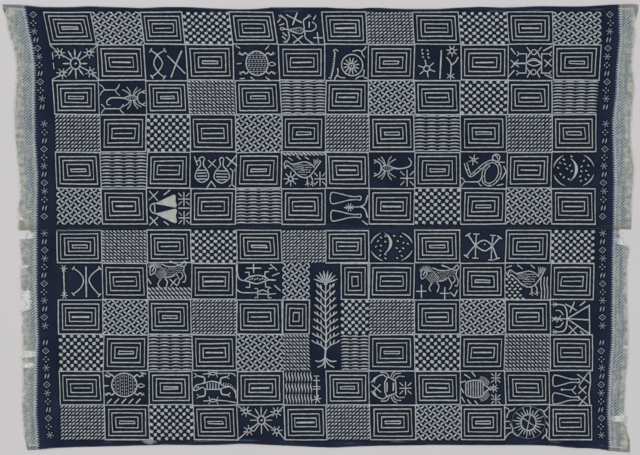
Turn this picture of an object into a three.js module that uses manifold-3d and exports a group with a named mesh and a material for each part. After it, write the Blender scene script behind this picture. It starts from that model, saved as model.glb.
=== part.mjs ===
// A wrapper cloth of two cotton widths, dyed with indigo and sewn together along one seam, opened out flat
// with its patterned face up. The two long outer edges have a rolled hem and both short ends are left torn.
//
// Sizes are millimetres. X runs along the cloth's length, Y across both widths and Z up. The origin is in
// the middle of the cloth, on the surface that it lies on.

import * as THREE from 'three';
import { mergeVertices } from 'three/addons/utils/BufferGeometryUtils.js';
import Module from 'manifold-3d';

const wasm = await Module();
wasm.setup();

// Driving dimensions

const HALF_LENGTH = 1077; // from the middle to the widest point of each torn end
const HALF_DEPTH = 760.7; // from the middle to the widest point of each hem
const CLOTH = 1.2; // thickness of the single cloth
const HEM_WIDTH = 12; // the edge is rolled over twice
const HEM = 2.6; // thickness of the rolled hem
const SEAM_HALF_WIDTH = 8; // the selvedges turned under on each side of the seam
const SEAM = 2; // thickness there
const SEAM_GAP = 0.3; // between the two widths
const STEP_WIDTH = 3; // over which a hem or the seam falls away to the single cloth
const COLUMN_PITCH = 37; // of the surface, along X
const RIPPLE_ROWS = [34, 62, 100, 150]; // rows of the surface inside a hem, where its ripples fade out
const PLAIN_ROWS = 5; // rows of the surface across the flat middle of a width
const CUT_OVER = 15; // how far a cut reaches past the cloth

const INDIGO = 0x1c2436;

// A table is a list of rows under named columns.

const table = (columns, ...rows) =>
  rows.map((row) => Object.fromEntries(columns.map((column, i) => [column, row[i]])));

// How far each hem lies inside the cloth's widest point, at places along X.

const HEMS = {
  upper: table(['x', 'inset'],
    [-1077, 2], [-1002, 4], [-958, 11], [-846, 11], [-788, 8], [-673, 12], [-602, 15], [-544, 11],
    [-443, 11], [-337, 17], [-266, 20], [-215, 18], [-165, 12], [25, 12], [66, 16], [137, 17],
    [181, 12], [239, 16], [310, 18], [395, 18], [466, 13], [540, 10], [625, 13], [747, 8],
    [886, 9], [971, 4], [1022, 2], [1068, 0], [1077, 5]),
  lower: table(['x', 'inset'],
    [-1077, 9], [-993, 9], [-951, 11], [-904, 16], [-809, 19], [-673, 22], [-544, 27], [-409, 25],
    [-337, 26], [-266, 31], [-131, 24], [-2, 18], [49, 17], [205, 24], [310, 25], [540, 26],
    [680, 25], [781, 24], [852, 16], [903, 16], [949, 12], [981, 6], [1048, 0], [1077, 0]),
};

// The seam wanders a little across the middle.

const SEAM_LINE = table(['x', 'y'],
  [-1077, -10], [-883, -5], [-748, 0], [-476, 3], [-2, 3], [134, 0], [337, 1], [608, 3], [880, 0], [1077, -5]);

// How far each torn end lies inside the cloth's widest point, at places along Y.

const ENDS = {
  upper: {
    left: table(['y', 'inset'],
      [780, 0], [744, 0], [716, 11], [672, 18], [631, 29], [580, 42], [516, 47], [394, 39],
      [299, 42], [177, 56], [106, 58], [72, 52], [-4, 52], [-30, 56]),
    right: table(['y', 'inset'],
      [780, 0], [755, 0], [737, 1], [709, 9], [689, 14], [652, 10], [601, 18], [550, 21], [482, 13],
      [424, 18], [353, 25], [279, 24], [204, 14], [106, 21], [4, 24], [-30, 29]),
  },
  lower: {
    left: table(['y', 'inset'],
      [30, 54], [-40, 56], [-118, 63], [-159, 59], [-239, 63], [-283, 59], [-304, 68], [-338, 63],
      [-396, 68], [-440, 64], [-501, 68], [-582, 65], [-626, 65], [-674, 71], [-701, 73], [-752, 84], [-780, 86]),
    right: table(['y', 'inset'],
      [30, 29], [-70, 29], [-118, 36], [-213, 37], [-345, 34], [-437, 35], [-508, 41], [-552, 43],
      [-623, 47], [-657, 46], [-674, 40], [-709, 32], [-727, 29], [-780, 29]),
  },
};

// Tears in the ends. The mouth runs from top to bottom at the edge, and the tear's inner end from
// innerTop to innerBottom, depth further in.

const TEARS = table(['width', 'end', 'top', 'bottom', 'innerTop', 'innerBottom', 'depth'],
  ['upper', 'left', 42, 24, 37, 30, 16],
  ['lower', 'left', 30, -39, 30, -34, 38],
  ['lower', 'left', -125, -133, -127, -131, 18],
  ['lower', 'left', -239, -283, -206, -271, 24],
  ['lower', 'left', -416, -437, -418, -433, 31],
  ['lower', 'left', -457, -471, -459, -469, 30],
  ['lower', 'left', -559, -566, -561, -564, 7],
  ['lower', 'right', 30, -62, 30, -49, 33],
  ['lower', 'right', -399, -407, -401, -405, 11],
  ['lower', 'right', -637, -657, -640, -653, 29]);

// Low ripples where a hem or a torn end lifts a little off the surface: the place of the crest along the
// edge, its half width, its height at the edge, and how far in it fades out.

const RIPPLES = table(['width', 'edge', 'at', 'halfWidth', 'rise', 'reach'],
  ['upper', 'hem', -960, 90, 4, 110], ['upper', 'hem', -640, 120, 3, 100], ['upper', 'hem', -266, 130, 5, 140],
  ['upper', 'hem', 105, 100, 4, 120], ['upper', 'hem', 350, 130, 5, 140], ['upper', 'hem', 690, 120, 3, 100],
  ['upper', 'hem', 1000, 80, 4, 110], ['lower', 'hem', -930, 90, 4, 110], ['lower', 'hem', -560, 130, 4, 120],
  ['lower', 'hem', -262, 120, 5, 140], ['lower', 'hem', 240, 130, 3, 110], ['lower', 'hem', 560, 130, 4, 130],
  ['lower', 'hem', 880, 100, 4, 120], ['upper', 'left', 520, 90, 4, 80], ['upper', 'left', 140, 90, 3, 70],
  ['upper', 'right', 560, 80, 3, 70], ['upper', 'right', 300, 90, 4, 80], ['lower', 'left', -210, 70, 3, 60],
  ['lower', 'left', -620, 80, 4, 80], ['lower', 'right', -280, 90, 3, 70], ['lower', 'right', -590, 80, 4, 80]);

// A value between the rows of a table, taken along straight lines.

function along(rows, place, value, at) {
  const before = rows.findLastIndex((row) => row[place] <= at);
  const from = rows[Math.max(before, 0)];
  const to = rows[Math.min(before + 1, rows.length - 1)];
  const share = from === to ? 0 : THREE.MathUtils.clamp((at - from[place]) / (to[place] - from[place]), 0, 1);
  return THREE.MathUtils.lerp(from[value], to[value], share);
}

const sideOf = (width) => (width === 'upper' ? 1 : -1);

const hemY = (width, x) => sideOf(width) * (HALF_DEPTH - along(HEMS[width], 'x', 'inset', x));

const seamY = (width, x) => along(SEAM_LINE, 'x', 'y', x) + (sideOf(width) * SEAM_GAP) / 2;

// How high the cloth lies above the surface.

function lift(width, x, y) {
  const fromEdge = {
    hem: Math.abs(hemY(width, x) - y),
    left: x + HALF_LENGTH,
    right: HALF_LENGTH - x,
  };
  return RIPPLES.filter((ripple) => ripple.width === width).reduce((height, ripple) => {
    const across = Math.min(Math.abs((ripple.edge === 'hem' ? x : y) - ripple.at) / ripple.halfWidth, 1);
    const inward = Math.min(fromEdge[ripple.edge] / ripple.reach, 1);
    return Math.max(height, ripple.rise * Math.cos((across * Math.PI) / 2) ** 2 * (1 - inward) ** 2);
  }, 0);
}

// Rows of a width from its hem to its seam: the distance in from the hem and from the seam, and how
// thick the cloth is there.

function rowsAt(width, x) {
  const side = sideOf(width);
  const hem = hemY(width, x);
  const seam = seamY(width, x);
  const flatFrom = hem - side * RIPPLE_ROWS.at(-1);
  const flatTo = seam + side * (SEAM_HALF_WIDTH + STEP_WIDTH);
  const plain = Array.from({ length: PLAIN_ROWS }, (_, i) => ({
    y: THREE.MathUtils.lerp(flatFrom, flatTo, (i + 1) / PLAIN_ROWS),
    thickness: CLOTH,
  }));
  return [
    { y: hem, thickness: HEM },
    { y: hem - side * HEM_WIDTH, thickness: HEM },
    { y: hem - side * (HEM_WIDTH + STEP_WIDTH), thickness: CLOTH },
    ...RIPPLE_ROWS.map((inset) => ({ y: hem - side * inset, thickness: CLOTH })),
    ...plain,
    { y: seam + side * SEAM_HALF_WIDTH, thickness: SEAM },
    { y: seam, thickness: SEAM },
  ];
}

// The closed sheet of one width before its ends are torn: a grid of the top face, the same grid of the
// underside, and a wall round the four sides.

function sheet(width) {
  const columns = Math.round((2 * (HALF_LENGTH + CUT_OVER)) / COLUMN_PITCH);
  const positions = [];
  const indices = [];
  let rowCount = 0;
  for (let i = 0; i <= columns; i++) {
    const x = THREE.MathUtils.lerp(-HALF_LENGTH - CUT_OVER, HALF_LENGTH + CUT_OVER, i / columns);
    const rows = rowsAt(width, x);
    rowCount = rows.length;
    for (const { y, thickness } of rows) {
      const under = lift(width, x, y);
      positions.push(x, y, under, x, y, under + thickness);
    }
  }
  const corner = (i, j, top) => 2 * (i * rowCount + j) + (top ? 1 : 0);
  const face = (a, b, c, d) => (sideOf(width) > 0 ? indices.push(a, b, c, a, c, d) : indices.push(a, c, b, a, d, c));
  for (let i = 0; i < columns; i++) {
    for (let j = 0; j < rowCount - 1; j++) {
      face(corner(i, j, true), corner(i, j + 1, true), corner(i + 1, j + 1, true), corner(i + 1, j, true));
      face(corner(i, j), corner(i + 1, j), corner(i + 1, j + 1), corner(i, j + 1));
    }
    const last = rowCount - 1;
    face(corner(i, 0), corner(i, 0, true), corner(i + 1, 0, true), corner(i + 1, 0));
    face(corner(i, last), corner(i + 1, last), corner(i + 1, last, true), corner(i, last, true));
  }
  for (let j = 0; j < rowCount - 1; j++) {
    face(corner(0, j), corner(0, j + 1), corner(0, j + 1, true), corner(0, j, true));
    face(corner(columns, j), corner(columns, j, true), corner(columns, j + 1, true), corner(columns, j + 1));
  }
  const geometry = new THREE.BufferGeometry();
  geometry.setAttribute('position', new THREE.Float32BufferAttribute(positions, 3));
  geometry.setIndex(indices);
  return geometry;
}

// The line of a torn end from top to bottom, with its tears, as points of inset and Y.

function tornLine(width, end) {
  const rows = ENDS[width][end];
  const smooth = new THREE.SplineCurve(rows.map(({ y, inset }) => new THREE.Vector2(inset, y)));
  let line = smooth.getPoints(2 * (rows.length - 1));
  for (const tear of TEARS.filter((row) => row.width === width && row.end === end)) {
    const insetAt = (y) => along([...rows].reverse(), 'y', 'inset', y);
    const inner = insetAt((tear.top + tear.bottom) / 2) + tear.depth;
    line = [
      ...line.filter((point) => point.y > tear.top),
      new THREE.Vector2(insetAt(tear.top), tear.top),
      new THREE.Vector2(inner, tear.innerTop),
      new THREE.Vector2(inner, tear.innerBottom),
      new THREE.Vector2(insetAt(tear.bottom), tear.bottom),
      ...line.filter((point) => point.y < tear.bottom),
    ];
  }
  return line;
}

// The block that tears one end off a width.

function waste(width, end) {
  const out = end === 'left' ? -1 : 1;
  const line = tornLine(width, end).map(({ x, y }) => new THREE.Vector2(out * (HALF_LENGTH - x), y));
  const outside = out * (HALF_LENGTH + 2 * CUT_OVER);
  const shape = new THREE.Shape([
    ...line,
    new THREE.Vector2(outside, line.at(-1).y),
    new THREE.Vector2(outside, line[0].y),
  ]);
  const block = new THREE.ExtrudeGeometry(shape, { depth: 2 * CUT_OVER, bevelEnabled: false });
  return block.translate(0, 0, -CUT_OVER);
}

// A closed geometry as a solid that can be cut, and back.

function solidOf(geometry) {
  const plain = geometry.clone();
  plain.deleteAttribute('normal');
  plain.deleteAttribute('uv');
  const merged = mergeVertices(plain);
  return new wasm.Manifold(new wasm.Mesh({
    numProp: 3,
    vertProperties: new Float32Array(merged.attributes.position.array),
    triVerts: new Uint32Array(merged.index.array),
  }));
}

function geometryOf(solid) {
  const { vertProperties, triVerts } = solid.getMesh();
  const geometry = new THREE.BufferGeometry();
  geometry.setAttribute('position', new THREE.BufferAttribute(vertProperties, 3));
  geometry.setIndex(new THREE.BufferAttribute(triVerts, 1));
  geometry.computeVertexNormals();
  return geometry;
}

function clothWidth(width) {
  const solid = ['left', 'right'].reduce(
    (cloth, end) => cloth.subtract(solidOf(waste(width, end))),
    solidOf(sheet(width)),
  );
  const material = new THREE.MeshStandardMaterial({ color: INDIGO, roughness: 0.9, metalness: 0 });
  const mesh = new THREE.Mesh(geometryOf(solid), material);
  mesh.name = `${width}_width`;
  return mesh;
}

const cloth = new THREE.Group();
cloth.add(clothWidth('upper'), clothWidth('lower'));

export default cloth;
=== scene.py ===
import math
import random

import bmesh
import bpy
import numpy as np
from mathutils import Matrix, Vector, noise
from mathutils.bvhtree import BVHTree
from mathutils.geometry import delaunay_2d_cdt
from mathutils.kdtree import KDTree


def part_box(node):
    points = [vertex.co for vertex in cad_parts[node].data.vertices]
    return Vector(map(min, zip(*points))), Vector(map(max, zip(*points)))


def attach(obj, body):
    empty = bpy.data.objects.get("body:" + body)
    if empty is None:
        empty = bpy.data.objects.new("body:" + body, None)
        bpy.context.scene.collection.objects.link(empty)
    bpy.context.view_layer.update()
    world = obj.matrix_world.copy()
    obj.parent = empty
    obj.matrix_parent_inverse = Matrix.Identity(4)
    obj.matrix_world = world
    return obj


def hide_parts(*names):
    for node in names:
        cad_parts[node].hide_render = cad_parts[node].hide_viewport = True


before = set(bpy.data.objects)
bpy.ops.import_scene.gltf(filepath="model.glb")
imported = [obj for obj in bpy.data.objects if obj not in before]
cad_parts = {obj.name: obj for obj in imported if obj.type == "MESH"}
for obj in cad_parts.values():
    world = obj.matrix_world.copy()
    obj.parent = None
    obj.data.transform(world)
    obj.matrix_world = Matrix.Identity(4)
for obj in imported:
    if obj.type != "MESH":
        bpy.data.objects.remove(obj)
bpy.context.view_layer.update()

# Camera
# It looks straight down on the middle of the cloth, as the photograph does. A pixel of the photograph
# covers 3.39 mm of the cloth.

MM = 0.001
PIXEL_MM = 3.39
FRAME_PIXELS = 640
CAMERA_HEIGHT = 6.0
CAMERA_SHIFT = (-1.9 * MM, 2.4 * MM)
SENSOR_MM = 36.0



def add_object(name, data):
    made = bpy.data.objects.new(name, data)
    bpy.context.scene.collection.objects.link(made)
    return made


camera = add_object("camera", bpy.data.cameras.new("camera"))
camera.data.sensor_width = SENSOR_MM
camera.data.lens = SENSOR_MM * CAMERA_HEIGHT / (FRAME_PIXELS * PIXEL_MM * MM)
camera.location = (*CAMERA_SHIFT, CAMERA_HEIGHT)
bpy.context.scene.camera = camera
bpy.context.scene.view_settings.view_transform = "Standard"

# Light
# One broad soft lamp high over the cloth, a little to the upper left, and an even pale surround.

LAMP_SIDE = 5.0
LAMP_PLACE = (-0.8, 1.0, 9.4)
LAMP_WATTS = 500.0
SURROUND = (0.95, 0.96, 1.0, 1.0)
SURROUND_STRENGTH = 0.40

lamp = add_object("lamp", bpy.data.lights.new("lamp", "AREA"))
lamp.data.size = LAMP_SIDE
lamp.data.energy = LAMP_WATTS
lamp.location = LAMP_PLACE
lamp.rotation_euler = (-Vector(LAMP_PLACE)).to_track_quat("-Z", "Y").to_euler()
lamp.visible_camera = False

world = bpy.data.worlds.new("surround")
world.use_nodes = True
world.node_tree.nodes["Background"].inputs["Color"].default_value = SURROUND
world.node_tree.nodes["Background"].inputs["Strength"].default_value = SURROUND_STRENGTH
bpy.context.scene.world = world

# Floor
# A plain pale floor, matt, a hair below the cloth.


class Wire:
    """A socket of a node tree. Sums, products and the like of wires and numbers add the maths nodes."""

    def __init__(self, tree, socket):
        self.tree = tree
        self.socket = socket

    def node(self, kind, settings=None, inputs=None, output=0):
        """Adds a node: its settings first, then the values or wires of its sockets. Gives one output."""
        made = self.tree.nodes.new(kind)
        for name, value in (settings or {}).items():
            setattr(made, name, value)
        for name, value in (inputs or {}).items():
            if isinstance(value, Wire):
                self.tree.links.new(value.socket, made.inputs[name])
            else:
                made.inputs[name].default_value = value
        return Wire(self.tree, made.outputs[output])

    def maths(self, operation, *others, clamp=False):
        values = dict(enumerate((self, *others)))
        if self.socket.type in ("VECTOR", "RGBA"):
            output = "Value" if operation in ("DOT_PRODUCT", "LENGTH") else "Vector"
            return self.node("ShaderNodeVectorMath", {"operation": operation}, values, output)
        return self.node("ShaderNodeMath", {"operation": operation, "use_clamp": clamp}, values)

    def __add__(self, other):
        return self.maths("ADD", other)

    __radd__ = __add__

    def __sub__(self, other):
        return self.maths("SUBTRACT", other)

    def __rsub__(self, other):
        return (self * -1.0) + other

    def __mul__(self, other):
        single = isinstance(other, float) or isinstance(other, Wire) and other.socket.type == "VALUE"
        if self.socket.type in ("VECTOR", "RGBA") and single:
            return self.node("ShaderNodeVectorMath", {"operation": "SCALE"}, {"Vector": self, "Scale": other})
        return self.maths("MULTIPLY", other)

    __rmul__ = __mul__

    def __truediv__(self, other):
        return self.maths("DIVIDE", other)

    def clamped(self):
        return self.maths("ADD", 0.0, clamp=True)

    def least(self, other):
        return self.maths("MINIMUM", other)

    def most(self, other):
        return self.maths("MAXIMUM", other)

    def sine(self):
        return self.maths("SINE")

    def part(self, axis):
        """One of X, Y and Z of a place."""
        return self.node("ShaderNodeSeparateXYZ", {}, {"Vector": self}, axis)

    def spread(self, low, high, to_low=0.0, to_high=1.0):
        """Turns low to high into to_low to to_high, smoothly, and holds the ends."""
        return self.node("ShaderNodeMapRange", {"interpolation_type": "SMOOTHSTEP"},
                         {"Value": self, "From Min": low, "From Max": high, "To Min": to_low,
                          "To Max": to_high})

    def mixed(self, low, high):
        """A colour between low, where this wire is 0, and high, where it is 1."""
        return self.node("ShaderNodeMix", {"data_type": "RGBA", "clamp_factor": True},
                         {"Factor": self, 6: low, 7: high}, 2)

    def grain(self, size, detail=2.0, output="Fac"):
        """Soft noise read at this place, with lumps of about the given size in the same unit."""
        return self.node("ShaderNodeTexNoise", {},
                         {"Vector": self, "Scale": 1.0 / size, "Detail": detail}, output)

    def feed(self, shader, name):
        self.tree.links.new(self.socket, shader.inputs[name])


def colour(red, green, blue):
    """A colour as shown on a screen, 0 to 255, as the linear colour that a shader reads."""
    shares = [value / 255 for value in (red, green, blue)]
    return (*[s / 12.92 if s <= 0.04045 else ((s + 0.055) / 1.055) ** 2.4 for s in shares], 1.0)


def new_material(name, settings):
    """A material with its Principled shader, and a wire of the place on the piece in millimetres."""
    material = bpy.data.materials.new(name)
    material.use_nodes = True
    tree = material.node_tree
    shader = tree.nodes["Principled BSDF"]
    for setting, value in settings.items():
        shader.inputs[setting].default_value = value
    metres = Wire(tree, tree.nodes.new("ShaderNodeTexCoord").outputs["Object"])
    return material, shader, metres * (1 / MM)


FLOOR_SIDE = 14.0
FLOOR_DROP = 0.3 * MM
FLOOR_COLOUR = colour(216, 213, 212)
FLOOR_SHADE = colour(212, 209, 208)

floor_mesh = bpy.data.meshes.new("floor")
floor_mesh.from_pydata([(x * FLOOR_SIDE / 2, y * FLOOR_SIDE / 2, -FLOOR_DROP)
                        for x, y in ((-1, -1), (1, -1), (1, 1), (-1, 1))], [], [(0, 1, 2, 3)])
floor = add_object("floor", floor_mesh)
floor_material, floor_shader, floor_place = new_material("pale floor", {"Roughness": 0.9})
floor_place.grain(400.0, 3.0).mixed(FLOOR_SHADE, FLOOR_COLOUR).feed(floor_shader, "Base Color")
floor_mesh.materials.append(floor_material)

# The resist pattern
# The maker stitches and ties the design into white cotton before the indigo bath, so each line is a row
# of stitches that the dye didn't reach. Twelve columns by twelve rows of cells are drawn here as strokes
# in millimetres, and the dyed cotton's material below shows them.

# The cells' edges: the place of each of the thirteen column lines where it crosses a level across the cloth.
COLUMN_LINES = {
    733: (-940, -779, -613, -470, -310, -161, 3, 154, 310, 466, 630, 786, 952),
    623: (-917, -758, -597, -458, -297, -144, 15, 159, 318, 476, 639, 789, 952),
    385: (-902, -749, -590, -443, -287, -132, 17, 164, 318, 474, 632, 785, 935),
    12: (-893, -741, -588, -441, -287, -132, 17, 164, 318, 474, 629, 781, 932),
    -16: (-895, -741, -588, -439, -285, -131, 17, 164, 318, 473, 627, 780, 929),
    -362: (-888, -737, -585, -437, -285, -129, 15, 163, 318, 473, 625, 779, 924),
    -725: (-881, -731, -578, -429, -280, -121, 22, 168, 324, 476, 625, 774, 919),
}

# The rows' edges, from the upper hem down to the seam, and from the seam down to the lower hem.
UPPER_ROWS = (733, 623, 501, 385, 258, 135, 13)
LOWER_ROWS = (-6, -118, -242, -360, -484, -599, -718)

# What each cell holds, a letter for a repeat and a figure's name where a name is given below.
LAYOUT = (
    "CPCKC1CTCKCP",
    "2C3C4C5C6C7C",
    "C8CLCWCPCKCW",
    "TCKCPCTCWCTC",
    "CWC9CaCbCcCd",
    "PCeCWCfCKCPC",
    "CLCKCTCgChCK",
    "iCjCkmmCnCoC",
    "CPCTCmmTCPCq",
    "KCWCPmmCKCLC",
    "CrCsCtCuCvCw",
    "TCKCxCTCPCyC",
)

# A cell is drawn on a card of this half width and half height and then laid between its four corners.
CARD = (76.5, 61.0)

# The dye creeps a little way in under the stitches, so that a line comes out thinner than it was drawn,
# and the single rows of stitches in a figure come out thinner than the close rows of a repeat.
CREEP = 0.84
FIGURE_CREEP = 0.76

strokes = []
rng = random.Random(7)


def polar(angle, wide=1.0, high=None):
    """The place at an angle in degrees on a circle, or on an oval with its own height."""
    turn = math.radians(angle)
    return Vector((math.cos(turn) * wide, math.sin(turn) * (wide if high is None else high)))


def wobble(amount):
    return rng.uniform(-amount, amount)


class Cell:
    """One cell of the pattern, with its corners as top left, top right, bottom left and bottom right."""

    def __init__(self, corners, card=CARD, creep=CREEP):
        self.corners = corners
        self.card = card
        self.creep = creep
        self.zero = (0, 0)
        self.scale = (1, 1)

    def placed(self, u, v, across=1, up=1):
        """The same cell with its zero at another place, and its sizes stretched or mirrored from there."""
        other = Cell(self.corners, self.card, self.creep)
        other.zero = (self.zero[0] + u * self.scale[0], self.zero[1] + v * self.scale[1])
        other.scale = (self.scale[0] * across, self.scale[1] * up)
        return other

    def at(self, u, v):
        across = (self.zero[0] + u * self.scale[0]) / self.card[0] / 2 + 0.5
        up = (self.zero[1] + v * self.scale[1]) / self.card[1] / 2 + 0.5
        top_left, top_right, low_left, low_right = self.corners
        return low_left.lerp(low_right, across).lerp(top_left.lerp(top_right, across), up)

    def line(self, points, half=2.4, closed=False):
        """Strokes from point to point. A point is across, up and, where it differs, its own half width."""
        full = [(*p, half)[:3] for p in points]
        if closed:
            full.append(full[0])
        if len(full) == 1:
            full = full * 2
        for (u0, v0, h0), (u1, v1, h1) in zip(full, full[1:]):
            a = self.at(u0, v0)
            b = self.at(u1, v1)
            strokes.append((a.x, a.y, h0 * self.creep, b.x, b.y, h1 * self.creep))

    def curve(self, points, half=2.4, closed=False, steps=4):
        """A smooth line through the points."""
        full = [(*p, half)[:3] for p in points]
        last = len(full) - 1
        path = []
        for i in range(last + closed):
            near = [i + k if closed else min(max(i + k, 0), last) for k in (-1, 0, 1, 2)]
            four = list(zip(*[full[k % (last + 1)] for k in near]))
            for t in np.arange(steps) / steps:
                path.append([0.5 * (2 * b + (c - a) * t + (2 * a - 5 * b + 4 * c - d) * t * t
                                    + (3 * b - a - 3 * c + d) * t ** 3) for a, b, c, d in four])
        if not closed:
            path.append(full[-1])
        self.line(path, half, closed)

    def oval(self, u, v, wide, high, half=2.4):
        steps = max(4, round(max(wide, high)))
        self.line([Vector((u, v)) + polar(360 * i / steps, wide, high) for i in range(steps + 1)], half)

    def dash(self, u, v, angle, length, half=2.2):
        """A short line about a point, at an angle in degrees."""
        middle, way = Vector((u, v)), polar(angle, length / 2)
        self.line([middle - way, middle + way], half)

    def ended(self, points, reach, half=2.4):
        """A smooth line with a short bar across each end."""
        self.curve(points, half)
        for end, before in ((points[0], points[1]), (points[-1], points[-2])):
            angle = math.degrees(math.atan2(end[1] - before[1], end[0] - before[0]))
            self.dash(*end, angle + 90, reach * 2, half)

    def rays(self, u, v, inner, outer, count, half=2.2, turn=0.0):
        for i in range(count):
            way = polar(turn + 360 * i / count)
            self.line([Vector((u, v)) + way * reach for reach in (inner, outer)], half)

    def cross(self, u, v, reach, half=2.4, turn=45.0, stretch=1.0):
        """Two lines that cross: a saltire, or an upright cross where turn is 0."""
        for angle in (turn, turn + 90):
            middle, way = Vector((u, v)), polar(angle, reach, reach * stretch)
            self.line([middle - way, middle + way], half)

    def ring_star(self, u, v, ring, outer, count=8, half=2.1, turn=0.0):
        """A small ring with rays."""
        self.oval(u, v, ring, ring, half)
        self.rays(u, v, ring + 2, outer, count, half * 0.9, turn)


# The repeats

RING_STEP = (12.4, 14.7)
SLIT_STEP = (12.6, 13.9)
RING_HALVES = {"border": (2.25, 1.85), "inner": (2.05, 1.6)}
BAR_HALVES = (1.8, 2.3, 2.9, 3.5)
CHECK_STEP = (13.0, 12.7)
LEAF_STEP = (12.8, 12.6)
WHEEL_STEP = (13.5, 12.6)
WAVE_STEP = (38.2, 11.4)
DIAGONALS = ((1, 1), (1, -1), (-1, 1), (-1, -1))

# A blade of a wheel: how far along and how far out each point lies, and its half width.
BLADE = ((0.03, 0.0, 1.1), (0.28, 0.75, 2.1), (0.5, 1.0, 3.5), (0.72, 0.6, 2.1), (0.97, 0.0, 1.0))


def oblong(cell, across, up, lean, halves):
    """One unsteady oblong: its half width and half height, then how thick its level and upright lines are."""
    corners = [(across * sx + wobble(1.3) + lean * sy, up * sy + wobble(1.1)) for sx, sy in
               ((-1, 1), (1, 1), (1, -1), (-1, -1))]
    for i, (a, b) in enumerate(zip(corners, (*corners[1:], corners[0]))):
        middle = ((a[0] + b[0]) / 2 + wobble(0.9), (a[1] + b[1]) / 2 + wobble(0.8))
        cell.line([a, middle, b], halves[i % 2] + wobble(0.35))


def concentric(cell):
    """Oblongs one inside another, with a bar or a slit in the middle."""
    wide, high = cell.card
    lean = wobble(1.4)
    slit = rng.random() < 0.35
    step = SLIT_STEP if slit else RING_STEP
    rings = 5 if slit else 4
    for ring in range(rings):
        across = wide - 1.0 - ring * step[0]
        if across < 8:
            break
        oblong(cell, across, high - 1.0 - ring * step[1], lean, RING_HALVES["inner" if ring else "border"])
    reach = wide - rings * step[0] + wobble(2)
    if reach > 6 and not slit:
        cell.line([(-reach - 2, wobble(1)), (reach + 2, wobble(1))], rng.choice(BAR_HALVES))


def counts(cell, step):
    """How many steps fill the card across and up."""
    return [round(2 * size / one) for size, one in zip(cell.card, step)]


def fields(cell, step):
    """The card's small fields, row by row: the column, the row and the middle of each."""
    wide, high = cell.card
    columns, rows = counts(cell, step)
    for j in range(rows):
        for i in range(columns):
            yield i, j, (i + 0.5) * 2 * wide / columns - wide, (j + 0.5) * 2 * high / rows - high


def check(cell):
    """A chequer of small blocks that touch at their corners, each row leaning against the next."""
    for i, j, u, v in fields(cell, CHECK_STEP):
        if (i + j) % 2 == 0:
            lean = 0.9 if j % 2 else -1.3
            block = cell.placed(u + wobble(0.7), v + wobble(0.6))
            reach = 3.1 + wobble(0.6)
            for up in (-2.2, 2.2):
                shift = up * lean * -0.25
                block.line([(shift - reach, up - lean), (shift + reach, up + lean)], 3.1)


def leaves(cell, lean):
    """Rows of small leaning leaves, each thin at its foot and thick above."""
    for _, _, u, v in fields(cell, LEAF_STEP):
        field = cell.placed(u + wobble(0.7), v + wobble(0.6), lean)
        field.line([(-5.6, -5.4, 0.4), (-2.2, -2.0, 1.4), (0.9, 1.0, 3.1), (3.9, 2.7, 2.5), (6.0, 3.4, 0.5)])


def wheels(cell):
    """Small four-bladed wheels in staggered rows. Each blade is a bent leaf that two wheels share."""
    wide, high = cell.card
    columns, rows = counts(cell, WHEEL_STEP)
    step = (2 * wide / columns, 2 * high / rows)
    for j in range(0, rows + 2, 2):
        for i in range(0, columns + 2, 2):
            hub = Vector((i * step[0] - wide, j * step[1] - high))
            for right, up in DIAGONALS:
                way = Vector((right * step[0], up * step[1]))
                middle = hub + way * 0.5
                if abs(middle.x) > wide or abs(middle.y) > high:
                    continue
                side = Vector((-way.y, way.x)).normalized() * (2.7 + wobble(0.5))
                cell.line([(*(hub + way * along + side * out), half) for along, out, half in BLADE])


def waves(cell):
    """Rows of low arches."""
    long = 2 * cell.card[0] / counts(cell, WAVE_STEP)[0]
    for i, _, u, v in fields(cell, WAVE_STEP):
        if i == 0:
            level = v - 1.2 + wobble(0.5)
        rise = 2.2 + wobble(0.6)
        cell.placed(u, level).line([(1 - long / 2, 0, 1.2), (-0.22 * long, rise * 0.85, 2.3), (0, rise, 2.6),
                                    (0.22 * long, rise * 0.85, 2.3), (long / 2 - 1, 0, 1.2)])


REPEATS = {
    "C": concentric,
    "P": wheels,
    "K": check,
    "T": lambda cell: leaves(cell, 1),
    "L": lambda cell: leaves(cell, -1),
    "W": waves,
}


# The figures
# Beasts, tools and the old signs of the wearers' society, drawn freely on the same card.


def marks(cell, table, half=2.2):
    """Short lines: across, up, angle and length."""
    for mark in table:
        cell.dash(*mark, half)


def crosses(cell, table):
    """Crosses: across, up, reach, half width and turn."""
    for one in table:
        cell.cross(*one)


def lines(cell, half, *paths):
    """Several lines of one half width."""
    for path in paths:
        cell.line(path, half)


def curves(cell, half, *paths):
    """Several smooth lines of one half width."""
    for path in paths:
        cell.curve(path, half)


def twigs(cell, u, v, tips, half=2.4):
    """Curved arms from one point out to several tips."""
    for tip_u, tip_v in tips:
        bend = ((u + tip_u) / 2 + (tip_v - v) * 0.10, (v + tip_v) / 2 - (tip_u - u) * 0.10)
        cell.curve([(u, v), bend, (tip_u, tip_v)], half)


def asterisk(cell, u, v, reach):
    """An upright cross with four loose strokes between its arms."""
    cell.cross(u, v, reach, 2.2, 0.0, 1.2)
    for angle in (45, 135, 225, 315):
        cell.dash(*(Vector((u, v)) + polar(angle, reach * 1.02, reach * 1.08)), angle, reach * 0.75, 2.1)


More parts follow.
